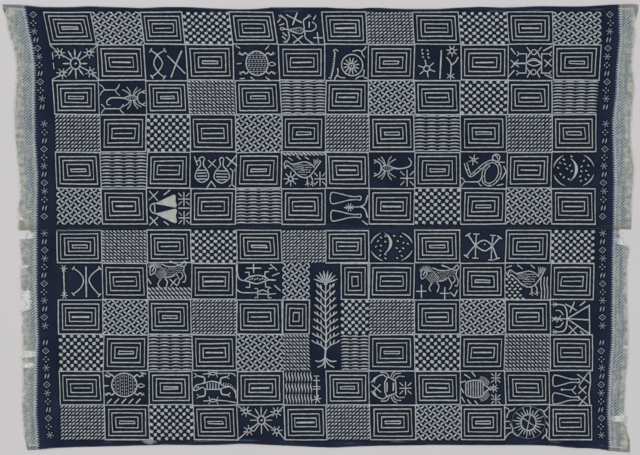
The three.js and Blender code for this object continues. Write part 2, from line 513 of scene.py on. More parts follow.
def insect(cell):
    for side in (1, -1):
        cell.curve([(-38, -6), (-14, -9 + 8 * side), (2, -9 + 11 * side), (17, -9)], 2.2)
    for step in range(7):
        cell.dash(-26 + step * 5.6, -9, 90, 6 if 1 < step < 6 else 3, 1.1)
    cell.curve([(16, -10), (36, -11), (50, -3), (55, 9), (50, 18), (44, 23)], 2.3)
    cell.oval(-56, -2, 6, 5, 2.0)
    cell.line([(-49, -3), (-38, -5)], 2.6)
    for foot in ((-55, 46), (36, 46), (-52, -53), (34, -57)):
        knee = -37 if foot[0] < 0 else 16
        hip = -2 if foot[1] > 0 else -14
        shin = (knee + wobble(1), foot[1] * 0.62)
        cell.curve([(knee, hip), shin, (foot[0] * 0.86, foot[1] * 0.9), foot], 2.5)
        cell.rays(*foot, 0, 7, 5, 1.2, wobble(30))
    cell.line([(-35, 50), (-14, 36), (8, 22, 3.4)], 2.4)
    cell.line([(-1, 57), (-20, 13)], 3.1)
    cell.line([(-25, -24), (4, -60)], 2.0)
    cell.line([(6, -30), (-25, -55)], 2.9)
    cell.cross(56, -36, 14, 2.6, 0.0, 1.4)
    marks(cell, ((-62, 28, 48, 15), (-55, 14, 22, 15), (-50, -23, -48, 16), (-54, -36, -50, 13),
                 (53, 40, 60, 16), (33, 13, 84, 20)), 2.6)


def star_corners(cell, hub, ring, stars, belly):
    """A sun in the middle, and a ringed star on each of the cell's diagonals."""
    hub = Vector(hub)
    across, up = ring
    cell.oval(*hub, across, up, 2.7)
    cell.dash(hub.x + 1, hub.y, 25, 5, 3.0)
    for star, (side, height) in zip(map(Vector, stars), ((-1, 1), (1, 1), (-1, -1), (1, -1))):
        cell.ring_star(*star, 7.0, 18.0, 7, 2.1, wobble(20))
        way = (star - hub).normalized()
        lines(cell, 2.1, [hub + Vector((way.x * (across + 2), way.y * (up + 1))), star - way * 8],
              [star + way * 8, (side * 76, height * 58)])
    for angle, reach in ((90, 27), (62, 25), (118, 27), (270, 29), (236, 26), (304, 26), (0, 20), (180, 22)):
        inner = hub + polar(angle, across + 3, up + 3)
        way = polar(angle, reach)
        cell.line([(*inner, 1.8), (*(inner + way / 2), belly), (*(inner + way), 1.5)])


def bright_sun(cell):
    star_corners(cell, (3, -4), (16, 19), ((-47, 31), (50, 31), (-43, -38), (52, -33)), 3.7)
    marks(cell, ((-70, 22, 92, 22), (-69, -12, 96, 20)), 1.9)


def small_sun(cell):
    star_corners(cell, (1, 8), (12, 15), ((-49, 38), (50, 35), (-40, -27), (51, -30)), 2.5)


def crossed_bows(cell):
    cell.ended([(-54, 41), (-30, 25), (-12, -3), (-30, -32), (-53, -49)], 7)
    cell.ended([(-1, 41), (-30, 25), (-44, -3), (-30, -32), (-7, -51)], 7)
    cell.line([(8, 22), (68, -37)], 2.6)
    cell.line([(60, 37, 3.6), (38, -4, 3.0), (17, -49, 2.8)])


def shell_and_limbs(cell, u, v, wide, high, upright):
    """A tortoise from above, its shell crossed by rows of dashes, its head to the right."""
    cell.oval(u, v, wide, high, 2.5)
    rows = 6
    for row in range(rows):
        off = (row + 0.5) / rows * 2 - 1
        reach = math.sqrt(max(0.0, 1 - off * off)) * 0.88
        count = max(2, round(reach * 7))
        for i in range(count):
            along = ((i + 0.5) / count * 2 - 1) * reach
            place = (u + off * wide, v + along * high) if upright else (u + along * wide, v + off * high)
            cell.dash(*place, 90 if upright else 20, 3.5, 1.9)
        if row:
            off = row / rows * 2 - 1
            reach = math.sqrt(1 - off * off) * 0.9
            ends = ((off, -reach), (off, reach)) if upright else ((-reach, off), (reach, off))
            cell.placed(u, v, wide, high).line(ends, 1.1)
    for side, height in DIAGONALS:
        limb = cell.placed(u + side * wide * 0.84, v + height * high * 0.72, side, height)
        limb.curve([(0, 0), (8, 6), (16, -1), (25, 4)], 2.8)
        limb.rays(26, 4, 0, 6, 4, 1.3, side * height * wobble(40))
    head = cell.placed(u + wide, v)
    head.line([(0, -2), (4, -3)], 2.2)
    head.curve([(3, -3), (13, 4), (25, -3), (13, -9)], 1.9, closed=True)


def broad_tortoise(cell):
    shell_and_limbs(cell, 2, -3, 37, 41, False)
    marks(cell, ((-60, 52, -30, 15), (39, 50, 45, 16), (-58, -4, 5, 14), (-50, -55, 4, 15),
                 (-15, -55, -40, 16), (36, -55, -40, 16)))


def barred_tortoise(cell):
    shell_and_limbs(cell, -7, 11, 43, 42, True)
    marks(cell, ((-58, 52, -30, 15), (58, 53, -14, 18), (-69, 8, 4, 15)))
    marks(cell, [(-59 + i * 24.5, -47, 46, 20) for i in range(5)], 2.7)


def wheel_and_staff(cell):
    curves(cell, 2.2, [(-41, 33), (-44, 0), (-49, -28), (-57, -56)],
           [(-41, 34), (-46, 41), (-38, 44), (-30, 38)])
    for i in range(10):
        cell.dash(-41.5 - i * 1.5, 29 - i * 8.2, 20, 6, 1.2)
    cell.dash(-59, -52, 0, 10, 1.8)
    cell.oval(20, -9, 38, 36, 2.5)
    cell.oval(17, -12, 10, 9)
    cell.dash(17, -12, 45, 4, 2.2)
    cell.rays(17, -12, 12, 27, 12, 2.3, 12)
    twigs(cell, -34, -44, ((-32, -21), (-43, -58), (-7, -52)))
    twigs(cell, 55, 38, ((24, 38), (71, 53), (65, 17)))
    twigs(cell, 58, -46, ((62, -26), (72, -54), (32, -56)))


def dots_and_branch(cell):
    for i in range(6):
        row, column = divmod(i, 2)
        cell.dash(-51 + column * 18 + row * 1.5, 42 - row * 12 - column * 1.5, -40 if i % 3 else 50, 4, 2.7)
    cell.oval(-36, -21, 10, 10)
    cell.rays(-36, -21, 12, 29, 6, 2.3, 40)
    cell.line([(12, 40), (8, -54)], 2.9)
    twigs(cell, 45, -9, ((30, 16), (67, 17)), 2.6)
    cell.line([(45, -9), (43, -45)])
    cell.ring_star(47, 39, 8.0, 18, 7, 2.2, 14)
    cell.rays(43, -46, 0, 13, 6, 1.9, 30)


def nested_eye(cell):
    for rise in (13, 7, -12):
        cell.curve([(-16, -1), (10, rise), (37, -3)], 2.2)
    for edge, side in ((-17, -1), (39, 1)):
        cell.placed(edge, 0, side).line([(-2, 30), (-1, -36)], 2.3)
        for arm in (29, -36):
            end = edge + side * 31
            cell.line([(edge - side * 2, arm), (edge + side * 24, arm)], 2.3)
            twigs(cell, edge + side * 24, arm, ((end, arm + 7), (end, arm - 7)), 2.1)
    cell.line([(-18, -3), (-58, -4)], 3.2)
    crosses(cell, ((-55, -4, 17, 2.3, 50), (59, -2, 16, 2.3, 50)))
    for level in (35, -33):
        cell.oval(10, level, 9, 9, 2.0)
        for side in (-1, 1):
            cell.placed(10, level, side).line([(25, 16), (12, 0), (21, -17)], 2.3)
    marks(cell, ((-62, 38, -52, 24), (57, 47, 27, 32), (-66, -38, 48, 28), (61, -47, -24, 26)), 2.7)


def forked_bar(cell, left, right, level, reach):
    """A level bar that forks at both ends."""
    cell.line([(left, level), (right, level)], 2.3)
    for end, side in ((left, -1), (right, 1)):
        tip = end + side * reach * 0.6
        twigs(cell, end, level, ((tip, level + reach * 0.8), (tip, level - reach * 0.8)), 2.0)


def scorpion(cell, side, u, v, tail):
    """A scorpion whose claws point to one side: right is 1. The tail goes by its own points."""
    body = cell.placed(u, v, side)
    for bulge in (8, -8):
        body.curve([(-23, 0), (-4, bulge), (12, bulge), (24, 0)], 2.0)
    for step in range(6):
        body.dash(-13 + step * 6, 0, 90, 6, 1.1)
    cell.curve([(u - side * 23, v, 3.2), *tail])
    for height in (1, -1):
        for toe, lift in ((-26, 30), (-12, 39), (22, 38), (33, 32)):
            knee = (3 + toe * 0.42, height * lift * 0.62)
            body.curve([(3 + toe * 0.22, height * 7), knee, (toe, height * lift)], 1.8)
        body.curve([(22, height * 3), (26, height * 15), (37, height * 23)], 2.3)
        wrist = cell.placed(u + side * 37, v + height * 23)
        twigs(wrist, 0, 0, ((side * 9, height * 4), (side * 8, height * -6)))


def scorpion_right(cell):
    scorpion(cell, 1, 27, -2,
             ((-16, -1, 2.8), (-38, -2, 3.0), (-50, -12, 2.4), (-51, -24, 2.0), (-41, -27, 1.8)))
    forked_bar(cell, -58, -23, 27, 24)
    forked_bar(cell, -58, -10, -40, 19)


def scorpion_left(cell):
    scorpion(cell, -1, -13, 7, ((25, 5, 2.9), (50, 9, 3.0), (63, 16, 2.5), (66, 28, 2.3), (57, 41, 2.0)))
    asterisk(cell, 52, -27, 22)


def gourd(cell, wide, knob):
    """A striped gourd with a neck."""
    cell.curve([(0, -28), (-wide, -12), (-wide * 0.8, 12), (-6, 28), (-5, 42), (-knob, 52), (0, 58),
                (knob, 52), (5, 42), (6, 28), (wide * 0.8, 12), (wide, -12)], 2.3, closed=True)
    for level in (-17, -7, 3, 13):
        reach = wide * math.sqrt(1 - (level / 30) ** 2) * 0.72
        cell.line([(-reach, level), (reach, level + wobble(1))], 2.2)


def gourds(cell):
    gourd(cell.placed(-37, -13), 22, 9)
    gourd(cell.placed(29, -15), 25, 7)
    crosses(cell, ((-3, 22, 17, 2.0, 48), (62, 30, 22, 2.7, 52)))
    lines(cell, 2.1, [(-62, 46), (-52, 16)], [(-57, 28), (-46, 35)])
    cell.line([(-20, -58), (-6, -37), (8, -56)], 2.3)
    cell.line([(66, -5), (63, -48)], 2.5)
    twigs(cell, 66, -5, ((57, 6), (75, 5)), 2.0)
    twigs(cell, 63, -48, ((54, -55), (73, -55)), 2.0)


def bird(cell, plume):
    """A bird that faces left, speckled, with raised tail feathers."""
    cell.curve([(-64, -18), (-67, -2), (-60, 8), (-50, 2), (-40, -4), (-18, 0), (2, 4), (22, -1),
                (36, -14)], 2.2)
    cell.curve([(-64, -18), (-58, -8), (-50, -12), (-36, -24), (-18, -42), (4, -49), (23, -42), (42, -18),
                (60, plume)])
    cell.dash(-59, 1, 0, 2, 1.8)
    for i in range(4):
        cell.curve([(35 + i * 3, i * 4 - 14), (37 + i * 4, 2), (35 + i * 7, plume + 6 - i)], 1.4)
        cell.line([(36 + i * 4, i * 4 - 3), (40 + i * 4, i * 4 + 4)], 0.9)
        cell.curve([(i * 2 - 38, -8 - i * 4.5), (-20, -5 - i * 5.5), (0, -7 - i * 6)], 1.1)
    for row in range(5):
        start = -6 if row < 3 else -20
        for i in range(6 - row // 2):
            u = start + i * 9 + (row % 2) * 4
            if u < 30 - row * 3:
                cell.dash(u + wobble(1), -6 - row * 8 - (i % 2), -8, 4.5, 1.7)
    for hip, top in ((8, -48), (25, -43)):
        cell.curve([(hip, top), (hip + 6, -56), (hip + 5, -70)], 2.2)
        cell.rays(hip + 5, -70, 0, 8, 4, 1.6, 20)


def starry_bird(cell):
    bird(cell.placed(0, 24), 6)
    for i in range(11):
        cell.placed(i * 14, 0).line([(-72, 58, 2.8), (-64, 53, 3.4), (-59, 50, 1.6)])
    cell.ring_star(-45, -29, 8, 24, 8, 2.5)
    asterisk(cell, 57, -29, 19)
    marks(cell, ((-46, 38, -32, 17), (-17, 42, -38, 16), (11, 41, -30, 14)))


def chequered_bird(cell):
    bird(cell.placed(0, 30), 12)
    for j in range(7):
        for i in range(8):
            u, v = -71 + i * 9.2, 7 - j * 10.8
            if (i + j) % 2 == 0 and u < -36 - v * 0.52:
                cell.dash(u, v, 25 if j % 2 else -25, 4.2, 4.2)
    for u in (45, 56, 66):
        cell.curve([(u, 14), (u - 2, -8), (u + 1, -30), (u, -57)], 2.2)
    marks(cell, ((-64, 49, 20, 17), (-27, 48, -36, 20), (16, 49, -40, 16), (-71, 24, -62, 14)))


def double_line(cell, points, gap):
    """Two smooth lines that run side by side."""
    for side in (-1, 1):
        moved = []
        for i, point in enumerate(points):
            way = Vector(points[min(i + 1, len(points) - 1)]) - Vector(points[max(i - 1, 0)])
            way.normalize()
            moved.append(Vector(point) + Vector((-way.y, way.x)) * gap * side)
        cell.curve(moved, 1.9)


def snake(cell):
    body = [(-59, 24), (-53, 2), (-43, -18), (-28, -8), (-12, 6), (8, 22), (31, 30), (50, 17), (54, -9),
            (43, -34), (22, -48), (4, -42), (-1, -21), (4, 3), (18, 18)]
    double_line(cell, body, 4.6)
    for u, v in body[1:]:
        cell.dash(u + wobble(2), v + wobble(2), wobble(90), 4, 1.5)
    cell.curve([(33, 32), (30, 45), (42, 54), (54, 46), (50, 33), (40, 27)], 2.3)
    cell.curve([(40, 50), (45, 44), (48, 36)], 1.9)
    cell.dash(58, 27, 0, 22, 2.3)
    cell.ring_star(-33, 35, 5, 17, 6, 2.1, 20)
    forked_bar(cell, -62, -17, -39, 17)
    cell.line([(67, 13), (75, -4), (60, -30)])
    cell.dash(56, -49, 12, 20, 2.3)


def moon(cell, u, v, thick):
    """A crescent among scattered stars, within four bows."""
    cell.placed(u, v).curve([(-20, 37, 0.9), (-6, 22, thick * 0.6), (0, 0, thick), (-6, -22, thick * 0.62),
                             (-20, -39, 0.9)])
    for turn in (13, 121, 197, 297):
        cell.line([(*polar(turn + i * 12, 71, 58), half) for i, half in enumerate((1.0, 2.4, 3.0, 2.4, 1.0))])
    placed = []
    while len(placed) < 20:
        spot = Vector((rng.uniform(-62, 64), rng.uniform(-52, 53)))
        clear = all((spot - other).length > 15 for other in placed)
        if clear and Vector((spot.x / 66, spot.y / 55)).length < 0.86 and not u - 16 < spot.x < u + 11:
            placed.append(spot)
            cell.dash(*spot, rng.choice((-35, -30, 40)), 4.5, 2.6)


def wedges(cell):
    cell.curve([(-50, 11), (-62, 5), (-65, -7), (-60, -19), (-50, -24)])
    cell.line([(-50, 11), (-48, -24)])
    for apex, edge in (((-46, 10), ((18, 33), (17, 17), (22, 3))),
                       ((-46, -25), ((22, -15), (18, -31), (22, -50)))):
        for share in np.linspace(0, 2, 7):
            end = [np.interp(share, (0, 1, 2), values) for values in zip(*edge)]
            cell.line([(*apex, 1.6), (*end, 9.0)])
    crosses(cell, ((-53, 36, 21, 2.2, 42), (-53, -50, 19, 2.6, 42)))
    asterisk(cell, 54, 25, 19)
    asterisk(cell, 54, -39, 18)
    marks(cell, ((54, -6, 0, 36), (-6, 47, 36, 24), (-9, -57, -36, 18)), 2.7)


def machete(cell):
    """The outline of a machete, one unit long and one to each side, its grip to the right."""
    cell.curve([(0, 1), (0.25, 0.94), (0.62, 0.4), (0.85, 0.28), (1, 0.36), (1, -0.34), (0.85, -0.3),
                (0.6, -0.4), (0.25, -0.92), (0, -1)], 2.2, closed=True)


def machetes(cell):
    machete(cell.placed(-57, 28, 104, 17))
    machete(cell.placed(-55, -32, 102, 16))
    cell.line([(-10, -4), (47, -1)], 2.2)
    cell.rays(8, -3, 0, 13, 8, 1.7, 22)
    curves(cell, 2.8, [(46, -1), (62, 8), (72, 36)], [(46, -1), (62, -10), (71, -36)])
    cell.line([(53, -49, 2.2), (70, -61, 3.0)])


def machetes_and_crosses(cell):
    machete(cell.placed(-63, 26, 91, 18))
    machete(cell.placed(-63, -38, 91, 18))
    cell.dash(-32, -6, 0, 4, 3.6)
    cell.line([(-30, -6), (4, -6)], 2.1)
    twigs(cell, 4, -6, ((16, 7), (17, -21)), 2.1)
    crosses(cell, ((45, 33, 27, 2.3, 55), (41, -7, 18, 2.3, 45), (42, -47, 21, 2.3, 52)))
    cell.curve([(66, 60), (69, 20), (64, -20), (68, -58)], 2.6)


def barred_eye(cell):
    cell.ended([(-56, -36), (-25, 5), (4, 23), (31, 2), (48, -45)], 8, 2.8)
    cell.ended([(-50, 44), (-25, 5), (6, -16), (31, 2), (56, 34)], 8, 2.8)
    cell.ended([(-22, 46), (-24, 2), (-25, -43)], 9)
    cell.ended([(34, 41), (30, -4), (28, -50)], 9)
    cell.dash(6, 8, 0, 3, 2.4)


def back_to_back_bows(cell):
    cell.ended([(-22, 44), (2, 26), (12, 3), (2, -22), (-24, -43)], 6, 2.5)
    cell.ended([(68, 44), (42, 24), (31, 3), (44, -22), (66, -46)], 6, 2.5)
    cell.line([(21, 48), (21, -51)], 3.0)
    cell.line([(-55, 40), (-54, -44)], 2.6)
    for level in (43, -47):
        cell.rays(-54, level, 2, 11, 6, 1.7)


def lion(cell):
    """A lion that faces left, maned, spotted, with its tail curled over its back."""
    curves(cell, 2.2, [(-14, 45), (5, 37), (29, 36), (46, 40), (60, 46)],
           [(16, 53, 3.2), (34, 47), (52, 38), (66, 38), (72, 47), (66, 54), (58, 47)])
    curves(cell, 2.1, [(-2, 0), (19, 2), (36, 12), (43, 2), (48, -8), (46, -18), (40, -27)],
           [(66, 38), (63, 20), (70, 3), (67, -14), (60, -15)])
    cell.curve([(54, 18), (60, 5), (52, -6)], 1.9)
    curves(cell, 2.3, [(-19, -8), (-27, -22), (-22, -33)], [(-2, -4), (6, -16), (0, -35)])
    cell.curve([(-52, 8), (-55, 22), (-50, 38), (-40, 36), (-34, 24), (-44, 12)], 2.2, closed=True)
    cell.dash(-44, 26, 60, 12, 2.4)
    for i in range(12):
        angle = 170 - i * 15
        cell.line([Vector((-41, 31)) + polar(angle, 10, 8), Vector((-37, 32)) + polar(angle, 23, 19)], 1.3)
    for i in range(6):
        cell.line([(-37 + i * 4.6, 12 + i * 4.2), (-17 + i * 4.2, -8 + i * 3.6)], 1.2)
    for row in range(5):
        for i in range(8 - row // 2):
            spot = -7 + i * 9 + (row % 2) * 4
            if row < 3 or spot < 30:
                cell.dash(spot + wobble(1), 31 - row * 6.6 + wobble(0.7), 8, 4.5, 1.35)


def lion_on_ground(cell):
    lion(cell.placed(-13, 13))
    cell.cross(14, -4, 16, 2.2, 50)
    cell.dash(-69, 0, -58, 18, 2.3)
    for j in range(3):
        for i in range(11):
            clod = cell.placed(-70 + i * 14 - j * 1.5, -26 - j * 14)
            clod.line([(-5, 5, 2.4), (0, 1, 3.9), (7, -6, 0.9)])


def lion_and_crosses(cell):
    lion(cell)
    cell.cross(-53, -33, 16, 2.3, 0.0, 1.3)
    cell.cross(25, -40, 15, 2.3, 0.0, 1.3)
    cell.line([(44, -37), (58, -50), (67, -30)], 2.5)


def limbs(cell, hips, reach, half=2.3):
    """Bent legs: each hip's place, then which way the foot goes across and up."""
    for u, v, side, height in hips:
        cell.placed(u, v, side * reach, height * reach).line([(0, 0), (0.1, 1), (0.9, 1)], half)


def lizards(cell):
    for rise in (20, -8):
        cell.curve([(-50, 3), (-34, 3 + rise * 0.55), (-8, rise), (16, 4 + rise * 0.6), (32, 5)], 2.6)
    for i in range(7):
        cell.dash(-32 + i * 8.5, 6 + (i % 2) * 3, 35, 5, 2.0)
    cell.curve([(-74, 55), (-74, 34), (-70, 14), (-60, 4), (-50, 3)], 2.6)
    cell.line([(32, 5), (54, 4)], 3.0)
    limbs(cell, ((-33, 15, -1, 1), (18, 17, 1, 1), (-31, -5, -1, -1), (20, -4, 1, -1)), 15)
    cell.curve([(-75, -28), (-60, -37), (-36, -38), (-8, -37), (11, -29), (32, -38)])
    cell.line([(-8, -42), (32, -43), (55, -41)], 2.2)
    limbs(cell, ((-5, -35, -1, 1), (29, -33, 1, 1), (-5, -43, -1, -1), (29, -44, 1, -1)), 11, 2.0)
    cell.cross(-19, 44, 24, 2.6, 0.0, 0.6)
    marks(cell, ((48, 47, -42, 30), (38, 43, 8, 11), (55, 23, 22, 24), (60, -22, -42, 26)), 2.3)


def monitor_lizards(cell):
    for level, tail in ((52, ((60, 0), (71, -9))), (-45, ((40, -2), (73, -8)))):
        body = cell.placed(0, level)
        body.curve([(-40, -2), (-20, 0), (-8, 5), (8, 1), (24, 0), *tail], 2.2)
        body.curve([(-20, 0), (-8, -5), (8, 0)], 2.0)
        for hip, foot in ((-18, -22), (6, 9)):
            for height in (1, -1):
                body.line([(hip, height * 3), (foot, height * 13)], 1.9)
    cell.curve([(-76, -8), (-66, 9), (-50, 14), (-36, 18), (-10, 24), (10, 20), (20, 14)])
    cell.curve([(-76, -8), (-62, -8), (-50, 0), (-42, 2), (-34, -5)], 2.2)
    cell.line([(-34, -5), (19, -5)])
    cell.cross(-60, 2, 6, 1.4)
    for i in range(5):
        cell.line([(-27 + i * 10, 17 - abs(i - 2)), (-27 + i * 10, -3)], 2.2)
    cell.curve([(20, 14), (34, 6), (50, 5), (64, -6), (71, -20), (72, -36)])
    cell.curve([(19, -3), (34, 2), (48, 4)], 2.0)
    for u, v in ((30, 16), (38, 14), (46, 13), (54, 10), (61, 4), (67, -3), (71, -11)):
        cell.dash(u, v, 60, 6, 1.5)
    for hip, knee, foot in (((-37, 19), (-36, 37), (-62, 44)), ((19, 18), (22, 35), (42, 40)),
                            ((-34, -5), (-36, -27), (-55, -31)), ((20, -5), (24, -22), (44, -25))):
        cell.curve([hip, knee, foot], 3.0)
        toe = foot[0] + math.copysign(7, foot[0])
        twigs(cell, *foot, ((toe, foot[1] + 8), (toe, foot[1] - 6)), 2.0)


def three_way_fan(cell):
    hub = (-17, -6)
    for tip in ((62, 41), (62, -10), (64, -60)):
        cell.line([hub, (*tip, 3.2)])
    lines(cell, 2.6, [(61, 42), (64, -60)], [hub, (-60, -7)], [(-23, 45), (15, 24)], [(8, 52), (-7, 17)])
    for height, reach in ((1, 50), (-1, 46)):
        arm = cell.placed(0, -6, 1, height)
        arm.curve([(-17, 0), (-19, reach * 0.55), (-28, reach * 0.92), (-44, reach), (-63, reach)], 2.7)
        arm.rays(-63, reach, 0, 9, 5, 1.4, 36)
        arm.curve([(-58, 29), (-43, 28), (-31, 14)], 2.2)
    crosses(cell, ((-47, -7, 13, 2.0, 60), (-64, -7, 9, 2.0, 50), (4, -46, 20, 2.4, 42)))
    marks(cell, ((37, 47, 36, 22), (37, -55, -42, 15)), 2.7)


def rain_and_ladder(cell):
    for i in range(9):
        for j in range(3):
            drop = cell.placed(-66 + i * 11.1, 57 - j * 39.5)
            drop.curve([(wobble(1), 0, 1.3), (-2, -10, 2.5), (1.5, -23, 2.5), (0, -34, 1.0)])
    cell.line([(43, 43), (43, -32)])
    for level, reach in ((43, 9), (27, 11), (5, 12), (-4, 12)):
        cell.dash(43, level, wobble(4), reach * 2, 2.0)
    cell.dash(43, -40, 0, 3, 5.0)
    cell.rays(43, -40, 5, 15, 6, 2.0, 10)


def crab(cell):
    cell.line([(-14, 40), (11, 25), (13, -18), (-19, -31), (-25, -13), (-25, 21)], closed=True)
    cell.line([(-17, 19), (-18, -12)], 2.6)
    cell.line([(4, 17), (3, -9)], 3.2)
    for height in (1, -1):
        side = cell.placed(0, 4, 1, height)
        side.curve([(-18, 33), (-30, 43), (-46, 39), (-56, 30)], 2.3)
        side.line([(-56, 31, 4.6), (-64, 22, 4.0), (-71, 15, 1.4)])
        side.line([(-58, 24, 2.0), (-60, 14, 1.4)])
        curves(side, 2.0, [(-10, 36), (-20, 50), (-38, 51)], [(-4, 36), (2, 50), (14, 57)],
               [(3, 33), (10, 46), (28, 49)], [(10, 28), (22, 38), (40, 37)])
    cell.cross(-53, -2, 19, 2.2, 48)
    asterisk(cell, 44, -1, 19)


def beetle(cell):
    for height in (1, -1):
        wing = cell.placed(0, -3, 1, height)
        wing.curve([(-58, 0), (-57, 22), (-30, 31), (-4, 26), (10, 10), (26, height)], 2.5)
        for i in range(3):
            wing.placed(i * 3, i * 5).curve([(-12, 35), (5, 27), (17, 11)], 1.3)
        asterisk(cell, 45, -2 + height * 38, 15)
    for i in range(7):
        u = -50 + i * 8.5
        reach = 31 * math.sqrt(1 - ((u + 27) / 40) ** 2) - 5
        cell.line([(u, -3 + reach), (u, -3 - reach)], 2.0)
    cell.oval(39, -1, 6, 6, 2.2)
    cell.rays(39, -1, 5, 14, 7, 2.0)
    marks(cell, ((-53, 42, -35, 22), (-31, 49, -52, 18), (-69, 22, 20, 17), (-71, -8, -62, 17),
                 (-68, -42, -60, 20), (-47, -50, -54, 18), (-22, -53, -50, 16)), 2.6)


def sunburst(cell):
    cell.oval(5, 0, 26, 28, 2.6)
    lines(cell, 1.9, [(-16, 16), (25, -12)], [(11, 26), (0, -25)])
    for i in range(24):
        outer = 54 if i % 2 else 43
        angle = i * 15 + 7
        cell.placed(5, 0).line([(*polar(angle, 30, 32), 2.3), (*polar(angle, outer, outer + 1), 1.7)])
    cell.oval(5, 0, 58, 56, 0.4)
    twigs(cell, -60, 40, ((-75, 53), (-42, 50), (-70, 17)))
    twigs(cell, 57, 38, ((73, 55), (42, 46), (70, 18)))
    twigs(cell, -50, -31, ((-58, -5), (-75, -53), (-31, -47)))
    twigs(cell, 66, -42, ((67, -22), (54, -56), (75, -57)))
    marks(cell, ((-69, 4, 0, 17), (-67, -19, 0, 17), (71, -6, -55, 17)), 2.4)


FIGURES = {
    "1": insect, "2": bright_sun, "3": crossed_bows, "4": broad_tortoise, "5": wheel_and_staff,
    "6": dots_and_branch, "7": nested_eye, "8": scorpion_right, "9": gourds, "a": starry_bird,
    "b": scorpion_left, "c": snake, "d": lambda cell: moon(cell, 9, 3, 6.4), "e": wedges, "f": machetes,
    "g": lambda cell: moon(cell, -3, 13, 6.6), "h": barred_eye, "i": back_to_back_bows, "j": lion_on_ground,
    "k": lizards, "n": lion_and_crosses, "o": chequered_bird, "q": three_way_fan, "r": barred_tortoise,
    "s": monitor_lizards, "t": rain_and_ladder, "u": crab, "v": beetle, "w": machetes_and_crosses,
    "x": small_sun, "y": sunburst,
}


def column_line(column, level):
    """Where a column line crosses a level. A part of a column counts too."""
    levels = sorted(COLUMN_LINES)
    lines = [np.interp(level, levels, [COLUMN_LINES[one][line] for one in levels]) for line in range(13)]
    return float(np.interp(column, range(13), lines))


def cell_between(left, right, top, low, card=CARD, creep=CREEP):
    corners = [Vector((column_line(side, level), level)) for level in (top, low) for side in (left, right)]
    return Cell(corners, card, creep)


for row, letters in enumerate(LAYOUT):
    rows = UPPER_ROWS if row < 6 else LOWER_ROWS
    top, low = rows[row % 6], rows[row % 6 + 1]
    for column, letter in enumerate(letters):
        if letter in REPEATS:
            REPEATS[letter](cell_between(column, column + 1, top, low))
        elif letter in FIGURES:
            FIGURES[letter](cell_between(column, column + 1, top, low, creep=FIGURE_CREEP))

# The tall panel among the cells holds a plain palm tree, with a patch of a repeat on each side of it.
PANEL_COLUMNS = (5, 7)
PALM_COLUMNS = (5.64, 6.36)
PALM_CARD = (55, 183)
FLANK_CARD = (49, 61)
PANEL_ROWS = LOWER_ROWS[1:5]
FLANKS = ("PC", "CK", "LW")

for top, low, (left_repeat, right_repeat) in zip(PANEL_ROWS, PANEL_ROWS[1:], FLANKS):
    REPEATS[left_repeat](cell_between(PANEL_COLUMNS[0], PALM_COLUMNS[0], top, low, FLANK_CARD))
    REPEATS[right_repeat](cell_between(PALM_COLUMNS[1], PANEL_COLUMNS[1], top, low, FLANK_CARD))


def leaf(cell, u, v, angle, length, half):
    """A filled leaf from its stalk."""
    way = polar(angle, length)
    cell.placed(u, v).line([(*(way * share), thick) for share, thick in
                            ((0, 1.0), (0.3, half * 0.8), (0.6, half), (0.85, half * 0.55), (1.0, 0.8))])


def palm_tree(cell):
    cell.curve([(-3, -140, 3.2), (2, -60, 2.8), (-1, 20, 2.4), (1, 112, 2.0)], steps=6)
    for i in range(9):
        for side in (-1, 1):
            frond = cell.placed(0, -112 + i * 24, side)
            tip = (40 - i * 2.2, 26)
            frond.curve([(0, 0), (16, 16), tip], 2.1)
            leaf(frond, 15, 15, 84, 16, 2.9)
            leaf(frond, 26, 21, 70, 15, 2.7)
            leaf(frond, *tip, 38, 13, 2.8)
    for angle in range(20, 161, 20):
        leaf(cell.placed(1, 114), *polar(angle, 7, 6), angle, 38, 3.3)
    cell.oval(1, 114, 5, 5)
    for side in (-1, 1):
        cell.curve([(-3, -138), (side * 18, -150), (side * 36, -149)], 2.4)
        cell.curve([(-3, -140), (side * 10, -160), (side * 28, -170)], 2.2)
    cell.line([(-3, -140), (-3, -172)])


palm_tree(cell_between(*PALM_COLUMNS, PANEL_ROWS[0], PANEL_ROWS[-1], PALM_CARD))

# A row of small plain ornaments runs up the open indigo beside the first and the last column.
# Each side's line: a level across the cloth, and the place along it.
MARK_LINES = {
    "left": ((690, -975), (590, -955), (430, -945), (330, -936), (-340, -936), (-430, -930), (-730, -918)),
    "right": ((690, 982), (560, 972), (250, 962), (0, 957), (-300, 954), (-730, 950)),
}
MARK_LEVELS = (724, -738)
MARKS_IN_GROUP = 13
SEAM_CLEAR = 16
MARK_PITCH = 28.5
MARK_CARD = (12.5, 12.5)
MARK_REACH = 14.0


def lozenge(cell):
    cell.line([(-10, 0), (0, 9), (10, 0), (0, -9)], 1.3, closed=True)
    cell.dash(0, 0, 0, 1.5, 1.4)


def seeds(cell):
    for u in (-4.5, 4.5):
        cell.line([(u - 2, -8, 0.6), (u - 0.5, -2, 2.6), (u + 0.5, 2, 2.6), (u + 2, 8, 0.6)])


def small_star(cell):
    cell.rays(0, 0, 0, 10.5, 6, 1.2, wobble(20))


def four_dots(cell):
    for u, v in ((-7, 0), (7, 0), (0, 7), (0, -7)):
        cell.dash(u, v, wobble(90), 2.5, 2.2)


ORNAMENTS = (lozenge, four_dots, small_star, seeds, lozenge, small_star, four_dots, seeds)

for line in MARK_LINES.values():
    for i, level in enumerate(np.arange(*MARK_LEVELS, -MARK_PITCH)):
        if (i + 1) % MARKS_IN_GROUP == 0 or abs(level) < SEAM_CLEAR:
            continue
        x = float(np.interp(level, *zip(*reversed(line)))) + wobble(2)
        corners = [Vector((x + side * MARK_REACH, level + up * MARK_REACH))
                   for up in (1, -1) for side in (-1, 1)]
        ORNAMENTS[i % len(ORNAMENTS)](Cell(corners, MARK_CARD))

